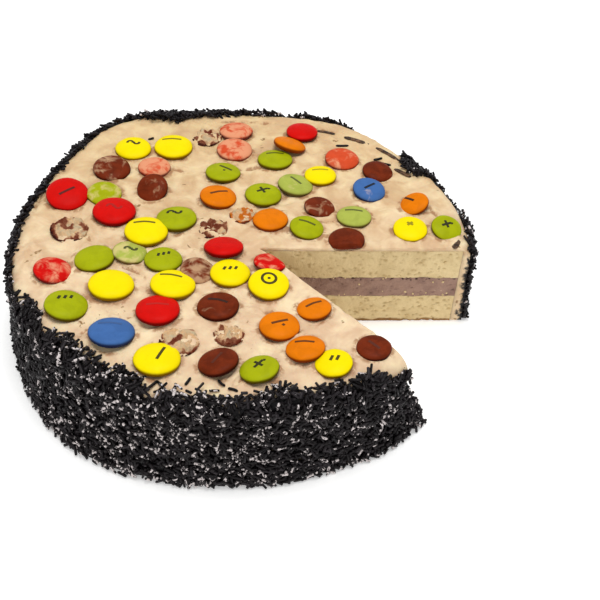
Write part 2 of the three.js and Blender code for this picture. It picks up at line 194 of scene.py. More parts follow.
# Thin dark flakes on the cream, which also stand for the shade under its ridges: millimetres right and behind,
# turn in degrees, length, width
FLAKES = [
    (72, 92, 150, 17, 3.4), (90, 77, 131, 19, 3), (96.5, 57, 137, 12, 3.2), (53, 101.5, 162, 12, 2.6),
    (117.2, -10.6, 62, 8, 3.4),
]

# How much of the coat has pale cream and painted highlights on it, where 1 is the whole share: angle, part
CREAM_AND_GLINT_SHARE = [
    (-180, 0.3), (-155, 0.35), (-140, 0.8), (-122, 1.5), (-100, 1.3), (-80, 0.85), (-60, 0.5), (0, 0.7),
    (160, 0.7), (180, 0.3),
]

# Grooves that the spatula left: millimetres right and behind of both ends, how far the middle bows out
GROOVES = [
    (-19, 112, 26, 111, 2), (28, 111, 62, 98, 3), (-70, -25.4, -50, -37.8, 3),
    (-60, -65.2, -53, -63, 0.5), (-87, 12, -81, -6, -3), (-76, -66, -84, -79, 2), (-52, 62, -30, 57, 2),
    (96, 28, 112, 12, 2), (8, -60, 24, -70, -2), (-118, 18, -110, 46, 3), (36, 6, 58, 10, 2),
    (-6, 60, 12, 66, -2), (-8, -112, 2, -101, -1),
]
GROOVE_DEPTH = 0.9 * MM
GROOVE_WIDTH = 1.3 * MM
# Width of the painted shade ring round each sweet
SHADE_RING_WIDTH = 2 * MM

# The ways the spatula was drawn over the cream, in degrees
SPATULA_HEADINGS = (18, -40, 75)

# Pores are flatter than they are wide
FLAT_PORES = np.array([0.8, 0.8, 1.3])
CRUST_HEIGHT = 2.2 * MM

# How finely the icing is divided: round the cake, then on top, on the rounding, on the side and inside
ICING_COLUMNS = 520
ICING_ROWS = (140, 10, 18, 3)

# How finely a layer is divided: along each cut, round the side, and the height of a row
CUT_COLUMNS = 230
ROUND_COLUMNS = 72
CUT_ROW = 0.62 * MM

INK_HALF_WIDTH = 0.72 * MM
INK_THICKNESS = 0.08 * MM

# The side's sprinkles come in bands, and those of the edge begin at this part of the coat's length
SIDE_BANDS = 4
EDGE_FROM = 0.93
SPRINKLE_SIDES = 5
SPRINKLE_SLACK = 0.8 * MM
FLOOR_GAP = 0.3 * MM

# Where crumbs cling to the cuts, in millimetres of height by turns
CRUMB_HEIGHTS = ((2, 52), (17, 22), (2, 52), (33, 36))
CRUMB_SEED = 31

# The camera of the photograph, in metres, with its yaw, pitch and roll in degrees
CAMERA_PLACE = (0, -0.3933, 0.3788)
CAMERA_TURN = (4.76, 43.43, 2.5)
# The lights: name, place and size in metres, share of the key light's power
LIGHTS = (("key_light", (0.08, 0.04, 1.2), 0.55, 1), ("front_light", (-0.3, -0.9, 0.6), 0.7, 0.2))
LIT_PLACE = Vector((0, 0, 0.03))


def tone(red, green, blue):
    """The linear colour of a screen colour given from 0 to 255."""
    linear = []
    for value in (red, green, blue):
        part = value / 255
        linear.append(part / 12.92 if part <= 0.04045 else ((part + 0.055) / 1.055) ** 2.4)
    return tuple(linear)


def length_setting(name, description, default, least=0.0):
    """A length for the panel."""
    return FloatProperty(name=name, description=description, default=default, min=least, subtype="DISTANCE",
                         unit="LENGTH")


def count_setting(name, description, default):
    """A whole number for the panel."""
    return IntProperty(name=name, description=description, default=default, min=0)


def colour_setting(name, description, *shade):
    """A colour for the panel, from a screen colour given from 0 to 255."""
    return FloatVectorProperty(name=name, description=description, default=tone(*shade), min=0, max=1, size=3,
                               subtype="COLOR")


class CakeSizes(bpy.types.PropertyGroup):
    """Sizes of the cream and the cut sides."""

    cream_top: length_setting("Cream on top", "Thickness of the cream at the cuts", 2.2 * MM, 0.5 * MM)
    cream_waves: length_setting("Cream waves", "Height of the broad waves in the cream", 0.9 * MM)
    spatula_marks: length_setting("Spatula marks", "Depth of the marks that the spatula left", 1.0 * MM)
    pore_depth: length_setting("Pore depth", "Depth of the deepest pores in the cut sponge", 1.0 * MM)
    crumb_count: count_setting("Crumbs", "Crumbs that cling to the cuts", 120)


class SprinkleSizes(bpy.types.PropertyGroup):
    """Sizes and numbers of the sprinkles."""

    length: length_setting("Length", "Length of a middling sprinkle", 4.9 * MM, 1 * MM)
    thickness: length_setting("Thickness", "Thickness of a sprinkle", 1.5 * MM, 0.3 * MM)
    on_side: count_setting("On the side", "Sprinkles pressed on the side", 15200)
    on_edge: count_setting("On the edge", "Sprinkles that stand on the top edge", 1800)
    in_heap: count_setting("In the heap", "Sprinkles that fell at the foot of the front cut", 780)
    # Share of the sprinkles with pale cream and painted highlights on them
    smeared: FloatProperty(
        name="Smeared", description="Share of the sprinkles that have cream on them", default=0.2, min=0,
        max=1, subtype="FACTOR")
    seed: count_setting("Seed", "Which random arrangement is used", 7)


class CakeColours(bpy.types.PropertyGroup):
    """Colours of the cake and its coat."""

    cream: colour_setting("Cream", "Cream icing", 231, 203, 166)
    cream_shade: colour_setting("Cream shade", "Darker streaks in the cream", 206, 167, 136)
    cream_light: colour_setting("Cream light", "Paler patches in the cream", 245, 226, 186)
    sponge: colour_setting("Sponge", "Crumb of the sponge", 233, 210, 161)
    # Painted shade at the bottom of the pores
    pore: colour_setting("Pores", "Bottom of the pores", 190, 162, 114)
    crust: colour_setting("Crust", "Baked skin under the lower sponge", 150, 112, 70)
    filling: colour_setting("Filling", "Nut cream between the sponges", 168, 136, 120)
    # Pale cream on some sprinkles, which also stands for painted highlights
    smear: colour_setting("Smear", "Cream left on some sprinkles", 220, 210, 208)
    sprinkle: colour_setting("Sprinkles", "Dark chocolate sprinkles", 15, 12, 14)


class SweetColours(bpy.types.PropertyGroup):
    """Colours of the sugar shells."""

    yellow: colour_setting("Yellow", "Yellow shell", 247, 224, 2)
    red: colour_setting("Red", "Red shell", 210, 16, 11)
    salmon: colour_setting("Salmon", "Faded red shell", 212, 78, 42)
    orange: colour_setting("Orange", "Orange shell", 228, 122, 6)
    green: colour_setting("Green", "Green shell", 164, 172, 14)
    pale_green: colour_setting("Pale green", "Faded green shell", 170, 180, 78)
    blue: colour_setting("Blue", "Blue shell", 66, 106, 166)
    brown: colour_setting("Brown", "Brown shell", 116, 43, 18)
    bloom: colour_setting("Bloom", "Sugar bloom and cream smears", 246, 210, 164)


class StageSettings(bpy.types.PropertyGroup):
    """Floor, light and camera."""

    floor: colour_setting("Floor", "Pale floor", 255, 255, 254)
    glow: FloatProperty(name="Floor glow", description="How much the lit table glows", default=0.25, min=0)
    sky: FloatProperty(name="Sky", description="Strength of the even white light", default=0.62, min=0)
    key: FloatProperty(
        name="Key light", description="Large soft light above", default=7.4, min=0, unit="POWER")
    lens: FloatProperty(name="Lens", description="Focal length", default=54.84, min=1, unit="CAMERA")


def read_outline():
    """The wedge's tip, and the lower sponge's side seen from it from the back cut round to the front cut."""
    corners = np.array([vertex.co[:2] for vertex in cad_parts["sponge_bottom"].data.vertices])
    reach = np.hypot(corners[:, 0], corners[:, 1])
    tip = corners[(reach > 2 * MM) & (reach < 60 * MM)].mean(axis=0)
    side = np.unique(corners[reach > 90 * MM].round(6), axis=0) - tip
    angle = np.degrees(np.arctan2(side[:, 1], side[:, 0])) % 360
    order = np.argsort(angle)
    angle = angle[order]
    side = side[order]
    gap_after = int(np.argmax(np.diff(np.append(angle, angle[0] + 360))))
    angle = np.unwrap(np.roll(angle, -gap_after - 1), period=360)
    side = np.roll(side, -gap_after - 1, axis=0)
    angle = angle - 360 if angle[0] > 180 else angle
    return tip, angle, np.hypot(side[:, 0], side[:, 1])


CUT_TIP, OUTLINE_ANGLES, OUTLINE_REACH = read_outline()
BACK_CUT = OUTLINE_ANGLES[0]
FRONT_CUT = OUTLINE_ANGLES[-1]


def side_reach(angle):
    """How far the sponge's side is from the wedge's tip."""
    return np.interp(angle, OUTLINE_ANGLES, OUTLINE_REACH)


def on_plan(angle, reach):
    """The places at some distances from the wedge's tip, as rows of x and y."""
    turn = np.radians(angle)
    return np.stack([CUT_TIP[0] + reach * np.cos(turn), CUT_TIP[1] + reach * np.sin(turn)], axis=-1)


def seen_from_middle(angle):
    """The direction of the side from the cake's middle, for directions from the wedge's tip."""
    place = on_plan(angle, side_reach(angle))
    return np.degrees(np.arctan2(place[..., 1], place[..., 0]))


def from_table(table, angle):
    """A value that changes smoothly round the cake, from a short table of angles."""
    angles, values = zip(*table)
    return np.interp((np.asarray(angle) + 180) % 360 - 180, angles, values)


def bell(away, width):
    """1 in the middle and less the farther away, next to nothing at twice the width."""
    return np.exp(-((away / width) ** 2))


def heap_at(angle, height):
    """How far the heap of sprinkles pushes the side out at a height."""
    depth = np.full(np.shape(angle), COAT_AT_FOOT)
    for middle, half_width, amount in FOOT_HEAPS:
        depth += amount * MM * bell((angle - middle + 180) % 360 - 180, half_width)
    return depth * np.exp(-height / HEAP_HEIGHT)


def edge_level(angle):
    """How high the cream's edge stands in a direction from the cake's middle."""
    return CREAM_LEVEL + from_table(RIM_RISE, angle) * MM


def at_height(places, height=0.0):
    """Places on plan with a height added."""
    return np.column_stack([places, np.full(len(places), height)])


def away_from(places, centre):
    """How far places are from a centre on plan."""
    return np.hypot(places[:, 0] - centre[0], places[:, 1] - centre[1])


def noise_at(places, size, shift=0.0):
    """Smooth noise of about -1 to 1 at each place, with bumps as wide as size."""
    return np.array([noise.noise(Vector(place)) for place in np.asarray(places) / size + shift])


def smooth_step(low, high, value):
    """From 0 to 1 as the value goes from low to high."""
    part = np.clip((value - low) / (high - low), 0, 1)
    return part * part * (3 - 2 * part)


def grid_mesh(columns, rows):
    """A bmesh grid, with the column and the row of each of its corners."""
    bm = bmesh.new()
    bmesh.ops.create_grid(bm, x_segments=columns, y_segments=rows, size=0.5)
    corners = np.array([vertex.co[:2] for vertex in bm.verts]) + 0.5
    column = np.rint(corners[:, 0] * columns).astype(int)
    row = np.rint(corners[:, 1] * rows).astype(int)
    return bm, column, row


def put_corners(bm, places):
    """Moves each corner of a bmesh to its place."""
    for vertex, place in zip(bm.verts, places):
        vertex.co = place


def keep_values(bm, name, values):
    """Keeps a value for each corner of a bmesh, for a material to read."""
    layer = bm.verts.layers.float.new(name)
    for vertex, value in zip(bm.verts, values):
        vertex[layer] = value


def make_mesh(bm, name):
    """A mesh from a bmesh, which ends there."""
    mesh = bpy.data.meshes.new(name)
    bm.to_mesh(mesh)
    bm.free()
    return mesh


def finish_mesh(bm, name, material, smooth=True):
    """An object from a bmesh, with its faces pointing out."""
    bmesh.ops.recalc_face_normals(bm, faces=bm.faces)
    return finish_piece(make_mesh(bm, name), name, material, smooth)


def finish_piece(mesh, name, material, smooth=True):
    """Links a mesh as a named piece of the cake, with its material."""
    mesh.materials.append(material)
    mesh.polygons.foreach_set("use_smooth", [smooth] * len(mesh.polygons))
    piece = bpy.data.objects.new(name, mesh)
    bpy.context.scene.collection.objects.link(piece)
    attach(piece, "root")
    return piece


# Node groups


SOCKET_KINDS = {"value": "NodeSocketFloat", "colour": "NodeSocketColor", "vector": "NodeSocketVector"}


def set_or_link(tree, socket, given):
    """Links a socket to another, or sets its value."""
    if isinstance(given, bpy.types.NodeSocket):
        tree.links.new(given, socket)
    elif socket.type == "RGBA" and len(given) == 3:
        socket.default_value = (*given, 1.0)
    else:
        socket.default_value = given


def add_node(tree, kind, inputs, output=0, **settings):
    """Adds a shader node with its settings, and sets or links its inputs. Returns one of its outputs."""
    node = tree.nodes.new("ShaderNode" + kind)
    for name, value in settings.items():
        setattr(node, name, value)
    for key, given in inputs.items():
        set_or_link(tree, node.inputs[key], given)
    return node.outputs[output]


def add_noise(tree, place, scale, detail=2.0, roughness=0.5, distortion=0.0):
    """A noise texture's value at a place."""
    grain = {"Detail": detail, "Roughness": roughness, "Distortion": distortion}
    return add_node(tree, "TexNoise", {"Vector": place, "Scale": scale, **grain}, "Fac")


def add_ramp(tree, value, low, high, to_low=0.0, to_high=1.0):
    """A value taken smoothly from one range to another."""
    inputs = {"Value": value, "From Min": low, "From Max": high, "To Min": to_low, "To Max": to_high}
    return add_node(tree, "MapRange", inputs, "Result", interpolation_type="SMOOTHSTEP")


def add_math(tree, operation, first, second):
    """The result of one sum on two values."""
    return add_node(tree, "Math", {0: first, 1: second}, "Value", operation=operation)


def add_mix(tree, part, first, second, blend_type="MIX"):
    """Two colours mixed."""
    return add_node(tree, "Mix", {0: part, 6: first, 7: second}, 2, data_type="RGBA", blend_type=blend_type)


def add_shade(tree, part, colour, shade):
    """A colour that a shade darkens as much as the part says."""
    return add_mix(tree, part, colour, add_mix(tree, 1.0, colour, shade, "MULTIPLY"))


def roughen(tree, value, patches, amount):
    """A value made uneven by patches or grain, so that what it bounds has a ragged edge."""
    return add_math(tree, "ADD", value, add_ramp(tree, patches, 0.3, 0.7, -amount, amount))


def read_attribute(tree, name, output="Fac"):
    """A value kept on the mesh."""
    return add_node(tree, "Attribute", {}, output, attribute_name=name)


def read_axis(tree, place, axis):
    """How far a place is along one axis."""
    return add_node(tree, "SeparateXYZ", {"Vector": place}, axis)


def new_group(name, inputs, outputs):
    """An empty shader node group. Returns it with the sockets that lead into it and out of it."""
    group = bpy.data.node_groups.new(name, "ShaderNodeTree")
    for socket_name, kind, *default in inputs:
        socket = group.interface.new_socket(socket_name, in_out="INPUT", socket_type=SOCKET_KINDS[kind])
        if default:
            socket.default_value = default[0]
    for socket_name, kind in outputs:
        group.interface.new_socket(socket_name, in_out="OUTPUT", socket_type=SOCKET_KINDS[kind])
    return group, group.nodes.new("NodeGroupInput").outputs, group.nodes.new("NodeGroupOutput").inputs


def link_results(group, results, *values):
    """Links values to the results of a group, in order. Returns the group."""
    for value, socket in zip(values, results):
        group.links.new(value, socket)
    return group


def build_mottle_group(name):
    """Two colours mixed in soft patches with finer grain in them."""
    group, given, results = new_group(
        name,
        [("Place", "vector"), ("Colour", "colour"), ("Patch Colour", "colour"), ("Patch Scale", "value", 40.0),
         ("Grain Scale", "value", 400.0), ("Amount", "value", 0.5)],
        [("Colour", "colour"), ("Patches", "value"), ("Grain", "value")])
    patches = add_noise(group, given["Place"], given["Patch Scale"], 3.0, 0.55, 0.6)
    grain = add_noise(group, given["Place"], given["Grain Scale"], 3.0, 0.6)
    soft = add_ramp(group, patches, 0.35, 0.7)
    both = add_math(group, "ADD", soft, add_ramp(group, grain, 0.2, 0.8, -0.2, 0.2))
    part = add_math(group, "MULTIPLY", both, given["Amount"])
    colour = add_mix(group, part, given["Colour"], given["Patch Colour"])
    return link_results(group, results, colour, patches, grain)


def build_fleck_group(name):
    """Small scattered flecks of another colour."""
    group, given, results = new_group(
        name,
        [("Place", "vector"), ("Colour", "colour"), ("Fleck Colour", "colour"), ("Scale", "value", 150.0),
         ("Rarity", "value", 0.75)],
        [("Colour", "colour")])
    spots = add_noise(group, given["Place"], given["Scale"], 2.0, 0.6, 0.4)
    patches = add_noise(group, given["Place"], 28.0)
    spots = add_math(group, "ADD", spots, add_ramp(group, patches, 0.35, 0.65, -0.1, 0.06))
    mask = add_ramp(group, spots, given["Rarity"], add_math(group, "ADD", given["Rarity"], 0.06))
    return link_results(group, results, add_mix(group, mask, given["Colour"], given["Fleck Colour"]))


def build_stroke_group(name):
    """Long narrow strokes at a heading, in patches. Length and width say how many fit in a metre."""
    group, given, results = new_group(
        name,
        [("Place", "vector"), ("Heading", "value", 0.0), ("Length", "value", 60.0), ("Width", "value", 400.0)],
        [("Height", "value")])
    place = given["Place"]
    shift = add_node(group, "TexNoise", {"Vector": place, "Scale": 38.0}, "Color")
    inputs = {0: shift, 1: (0.012, 0.012, 0.012), 2: place}
    bent = add_node(group, "VectorMath", inputs, operation="MULTIPLY_ADD")
    inputs = {"Vector": bent, "Angle": given["Heading"]}
    turned = add_node(group, "VectorRotate", inputs, rotation_type="Z_AXIS")
    sizes = add_node(group, "CombineXYZ", {"X": given["Length"], "Y": given["Width"], "Z": given["Width"]})
    stretched = add_node(group, "VectorMath", {0: turned, 1: sizes}, operation="MULTIPLY")
    strokes = add_math(group, "SUBTRACT", add_noise(group, stretched, 1.0), 0.5)
    patches = add_ramp(group, add_noise(group, place, 32.0, 1.0), 0.42, 0.6)
    height = add_math(group, "ADD", 0.5, add_math(group, "MULTIPLY", strokes, patches))
    return link_results(group, results, height)


def build_smear_group(name):
    """Irregular patches of bloom or cream on a sugar shell, as large as the amount says."""
    group, given, results = new_group(
        name,
        [("Place", "vector"), ("Colour", "colour"), ("Smear Colour", "colour"), ("Amount", "value", 0.3),
         ("Scale", "value", 150.0)],
        [("Colour", "colour"), ("Mask", "value")])
    patches = add_noise(group, given["Place"], given["Scale"], 3.0, 0.6, 0.5)
    edge = add_math(group, "SUBTRACT", 0.78, add_math(group, "MULTIPLY", given["Amount"], 0.55))
    mask = add_ramp(group, patches, edge, add_math(group, "ADD", edge, 0.22))
    some = add_math(group, "MULTIPLY", mask, add_ramp(group, given["Amount"], 0.0, 0.3, 0.0, 0.75))
    colour = add_mix(group, some, given["Colour"], given["Smear Colour"])
    return link_results(group, results, colour, some)


GROUP_BUILDERS = {
    "Soft mottle": build_mottle_group,
    "Flecks": build_fleck_group,
    "Shell smears": build_smear_group,
    "Spatula strokes": build_stroke_group,
}


def use_group(tree, name, **values):
    """Places a node group in a material, built the first time it is used. Returns its outputs."""
    node = tree.nodes.new("ShaderNodeGroup")
    node.node_tree = bpy.data.node_groups.get(name) or GROUP_BUILDERS[name](name)
    for key, given in values.items():
        set_or_link(tree, node.inputs[key.replace("_", " ").title()], given)
    return node.outputs


def add_mottle(tree, place, colour, patch_colour, **values):
    """The colour, the patches and the grain of a soft mottle."""
    values = {"place": place, "colour": colour, "patch_colour": patch_colour, **values}
    return tuple(use_group(tree, "Soft mottle", **values))


def new_material(name, roughness, shine=0.2):
    """A material with its shader and the object's own coordinates."""
    material = bpy.data.materials.new(name)
    material.use_nodes = True
    tree = material.node_tree
    tree.nodes.clear()
    shader = tree.nodes.new("ShaderNodeBsdfPrincipled")
    shader.inputs["Roughness"].default_value = roughness
    shader.inputs["Specular IOR Level"].default_value = shine
    output = tree.nodes.new("ShaderNodeOutputMaterial")
    tree.links.new(shader.outputs["BSDF"], output.inputs["Surface"])
    return material, tree, shader, add_node(tree, "TexCoord", {}, "Object")


def finish_shader(tree, shader, colour, height, distance):
    """Gives a shader its colour, and fine relief from a height between 0 and 1."""
    relief = add_node(tree, "Bump", {"Height": height, "Distance": distance}, "Normal")
    tree.links.new(relief, shader.inputs["Normal"])
    tree.links.new(colour, shader.inputs["Base Color"])


def cream_material(colours):
    """Satin cream with faint darker streaks and a few brown flecks."""
    material, tree, shader, place = new_material("Cream icing", 0.5)
    shader.inputs["Subsurface Weight"].default_value = 0.12
    shader.inputs["Subsurface Radius"].default_value = (0.004, 0.002, 0.001)
    shader.inputs["Subsurface Scale"].default_value = 1.0
    pale, _, _ = add_mottle(tree, place, colours.cream, colours.cream_light, patch_scale=110.0,
                            grain_scale=520.0, amount=0.66)
    colour, patches, grain = add_mottle(tree, place, pale, colours.cream_shade, patch_scale=62.0,
                                        grain_scale=260.0, amount=0.6)
    streaks, others = (
        use_group(tree, "Spatula strokes", place=place, heading=heading, length=length, width=width)["Height"]
        for heading, length, width in ((0.5, 70.0, 420.0), (-0.9, 60.0, 520.0)))
    colour = add_mix(tree, add_ramp(tree, streaks, 0.56, 0.75, 0.0, 0.5), colour, colours.cream_shade)
    # Painted shade: the cream darkens towards the back, with a ragged edge
    behind = roughen(tree, read_axis(tree, place, "Y"), patches, 0.04)
    colour = add_shade(tree, add_ramp(tree, behind, -0.07, 0.1), colour, CREAM_BACK_SHADE)
    # Painted shade: the cream is painted brown in the spatula grooves and round the sweets, broken up by grain
    broken_by_grain = add_ramp(tree, grain, 0.3, 0.65)
    groove = add_math(tree, "MULTIPLY", read_attribute(tree, "groove"), broken_by_grain)
    colour = add_mix(tree, add_ramp(tree, groove, 0.1, 0.7, 0.0, 0.8), colour, tone(160, 112, 74))
    flecks = use_group(tree, "Flecks", place=place, colour=colour, fleck_colour=tone(150, 116, 76),
                       scale=190.0, rarity=0.705)
    # Painted dark under the coat: the cream takes the sprinkles' colour there, standing for deeper sprinkles
    # and the shade between them
    coat = add_ramp(tree, roughen(tree, read_attribute(tree, "coated"), grain, 0.3), 0.35, 0.8)
    colour = add_mix(tree, coat, flecks["Colour"], colours.sprinkle)
    height = add_math(tree, "ADD", streaks, others)
    height = add_math(tree, "ADD", height, add_math(tree, "MULTIPLY", grain, 0.7))
    finish_shader(tree, shader, colour, height, 0.55 * MM)
    return material


def sponge_material(colours, name, crust_height):
    """Porous crumb with painted shade in its pores, and a baked skin under it where crust_height is above 0.
    """
    material, tree, shader, place = new_material(name, 0.92)
    colour, patches, grain = add_mottle(tree, place, colours.sponge, tone(208, 182, 132), patch_scale=90.0,
                                        grain_scale=900.0, amount=0.6)
    # Painted shade: the crumb is darker where its pores are deep
    pores = add_ramp(tree, read_attribute(tree, "pit"), 0.1, 0.85, 0.0, 0.8)
    colour = add_mix(tree, pores, colour, colours.pore)
    if crust_height > 0:
        height = roughen(tree, read_axis(tree, place, "Z"), patches, 0.8 * MM)
        crust = add_ramp(tree, height, crust_height, 0.4 * crust_height)
        colour = add_mix(tree, crust, colour, colours.crust)
    finish_shader(tree, shader, colour, grain, 0.5 * MM)
    return material


def filling_material(colours):
    """Nut cream with a fine grain and painted shade in its holes."""
    material, tree, shader, place = new_material("Nut cream", 0.75)
    colour, _, grain = add_mottle(tree, place, colours.filling, tone(130, 100, 90), patch_scale=130.0,
                                  grain_scale=1100.0, amount=0.65)
    flecks = use_group(tree, "Flecks", place=place, colour=colour, fleck_colour=tone(196, 168, 146),
                       scale=420.0, rarity=0.72)
    # Painted shade in the deepest holes
    painted_hole_shade = add_ramp(tree, read_attribute(tree, "pit"), 0.12, 0.4)
    finish_shader(tree, shader, add_mix(tree, painted_hole_shade, flecks["Colour"], tone(78, 54, 50)), grain, 0.5 * MM)
    return material


def sprinkle_material(colours):
    """Dark chocolate with a dull shine, a little lighter on some sprinkles, with pale cream and painted
    highlights on a few.
    """
    material, tree, shader, place = new_material("Dark chocolate sprinkles", 0.32, 0.15)
    colour, _, grain = add_mottle(tree, place, colours.sprinkle, tone(36, 28, 28), patch_scale=500.0,
                                  grain_scale=2400.0, amount=0.3)
    colour = add_mix(tree, read_attribute(tree, "shade"), colour, tone(74, 68, 72))
    # Pale cream and painted highlights on some sprinkles, broken up into short patches
    broken_by_grain = add_ramp(tree, add_noise(tree, place, 700.0), 0.35, 0.65, -0.8, 0.15)
    smear = add_ramp(tree, add_math(tree, "ADD", read_attribute(tree, "smear"), broken_by_grain), 0.35, 0.6)
    finish_shader(tree, shader, add_mix(tree, smear, colour, colours.smear), grain, 0.15 * MM)
    return material


def flake_material():
    """Thin chocolate half sunk in the cream and brown from it, which also stands for the shade under the
    cream's ridges.
    """
    material, tree, shader, place = new_material("Thin chocolate flakes", 0.5)
    colour, _, grain = add_mottle(tree, place, tone(48, 34, 26), tone(128, 94, 66), patch_scale=260.0,
                                  grain_scale=900.0, amount=0.8)
    finish_shader(tree, shader, colour, grain, 0.3 * MM)
    return material


def blend(colour, other):
    """A colour a little more than half way to another."""
    return tuple(0.45 * part + 0.55 * other_part for part, other_part in zip(colour, other))


def shell_material(name, colour, bloom, amount, depth):
    """A sugar shell, smeared or bloomed by the amount, with patches that the depth darkens."""
    material, tree, shader, place = new_material(name, 0.4, 0.04)
    darker = tuple(depth * part for part in colour)
    shell, _, grain = add_mottle(tree, place, colour, darker, patch_scale=150.0,
                                 grain_scale=1100.0, amount=0.5)
    smears = use_group(tree, "Shell smears", place=place, colour=shell, smear_colour=blend(colour, bloom),
                       amount=amount, scale=130.0)
    # Painted shade: the sweet's underside, low on the lens, is painted darker where its shadow falls
    under = add_ramp(tree, read_attribute(tree, "level"), 0.13, 0.0)
    shown = add_shade(tree, under, smears["Colour"], UNDER_SHADE)
    tree.links.new(add_ramp(tree, smears["Mask"], 0.0, 1.0, 0.38, 0.7), shader.inputs["Roughness"])
    finish_shader(tree, shader, shown, add_math(tree, "ADD", grain, smears["Mask"]), 0.12 * MM)
    return material


def smeared_material(label, colour):
    """A sugar shell that shows through smeared cream where the attribute shell says so, with painted shade at
    its front edge where the attribute goes past 1.
    """
    material, tree, shader, place = new_material(label, 0.45, 0.1)
    dull = tuple(0.72 * part for part in colour)
    thin = blend(dull, tone(196, 140, 104))
    cream, _, grain = add_mottle(tree, place, tone(216, 175, 130), tone(192, 178, 146), patch_scale=230.0,
                                 grain_scale=700.0, amount=0.9)
    shell, _, _ = add_mottle(tree, place, dull, thin, patch_scale=260.0, grain_scale=900.0, amount=0.5)
    edge = roughen(tree, read_attribute(tree, "shell"), grain, 0.16)
    through = add_mix(tree, add_ramp(tree, edge, 0.05, 0.5), cream, thin)
    shown = add_mix(tree, add_ramp(tree, edge, 0.4, 0.7), through, shell)
    # Painted shade at the front edge, where the shell attribute goes past 1
    shown = add_shade(tree, add_ramp(tree, edge, 1.1, 1.7), shown, UNDER_SHADE)
    finish_shader(tree, shader, shown, grain, 0.8 * MM)
    return material


def ink_material():
    """Edible ink, as dark on each sweet as its mark is strong."""
    material, tree, shader, place = new_material("Edible ink", 0.5)
    fading = add_ramp(tree, add_noise(tree, place, 1400.0), 0.3, 0.8, 0.0, 0.12)
    colour = add_mix(tree, fading, read_attribute(tree, "ink", "Color"), tone(96, 84, 60))
    tree.links.new(colour, shader.inputs["Base Color"])
    return material


# Pieces


def grooves_at(places):
    """How deep in a groove each place is, from 0 to 1, and how far up the ridge beside it."""
    groove, ridge = np.zeros(len(places)), np.zeros(len(places))
    for right, behind, end_right, end_behind, bow in GROOVES:
        start = np.array([right, behind]) * MM
        line = np.array([end_right, end_behind]) * MM - start
        length = np.linalg.norm(line)
        line = line / length
        along = (places - start) @ line / length
        bowed = bow * MM * 4 * along * (1 - along)
        away = (places - start) @ np.array([-line[1], line[0]]) - bowed
        ends = smooth_step(0, 0.25, along) * smooth_step(1, 0.75, along)
        groove = np.maximum(groove, ends * bell(away, GROOVE_WIDTH))
        ridge = np.maximum(ridge, ends * bell(away - 2 * GROOVE_WIDTH, GROOVE_WIDTH))
    return groove, ridge


def cream_relief(places, sweets):
    """How far the cream rises above its even level at each place on top."""
    sizes = bpy.context.scene.cake_sizes
    flat = at_height(places)
    height = sizes.cream_waves * noise_at(flat, 42 * MM, 2)
    bend = 5 * MM * noise_at(flat, 24 * MM, 5)
    for index, heading in enumerate(SPATULA_HEADINGS):
        way = math.radians(heading)
        along = flat[:, 0] * math.cos(way) + flat[:, 1] * math.sin(way)
        across = flat[:, 1] * math.cos(way) - flat[:, 0] * math.sin(way) + bend
        strokes = at_height(np.column_stack([along / (26 * MM), across / (4.2 * MM)]))
        here = smooth_step(-0.05, 0.3, noise_at(flat, 30 * MM, 21 + 7 * index))
        height += sizes.spatula_marks * here * noise_at(strokes, 1.0, 9 + index)
    height += 0.42 * sizes.cream_waves * noise_at(flat, 7 * MM, 33)
    height += 0.09 * MM * noise_at(flat, 1.8 * MM, 41)
    groove, ridge = grooves_at(places)
    height += GROOVE_DEPTH * (0.7 * ridge - groove)
    rough = 0.7 + 0.5 * noise_at(flat, 6 * MM, 55)
    for centre, _, radius in sweets:
        away = away_from(places, centre) - 0.98 * radius
        height += 0.75 * MM * rough * bell(away, 2.6 * MM)
        height -= 0.7 * MM * smooth_step(0.5 * MM, -3 * MM, away)
    for _, right, behind, width, _ in SUNK_SWEETS:
        away = away_from(places, (right * MM, behind * MM)) / (0.5 * width * MM)
        height += 0.85 * SUNK_STANDS * rough * np.exp(-((away / 0.95) ** 4))
    return height


def sweet_shade_ring_at(places, sweets):
    """How much painted shade the cream gets at each place from the sweets beside it, from 0 to 1: a brown ring
    round each sweet where its shadow falls.
    """
    flat = at_height(places)
    strength = np.clip(0.6 + 0.9 * noise_at(flat, 8 * MM, 63), 0, 1)
    shade_ring = np.zeros(len(places))
    for centre, _, radius in sweets:
        shade_ring = np.maximum(shade_ring, bell(away_from(places, centre) - radius - 0.3 * MM, SHADE_RING_WIDTH))
    return shade_ring * strength


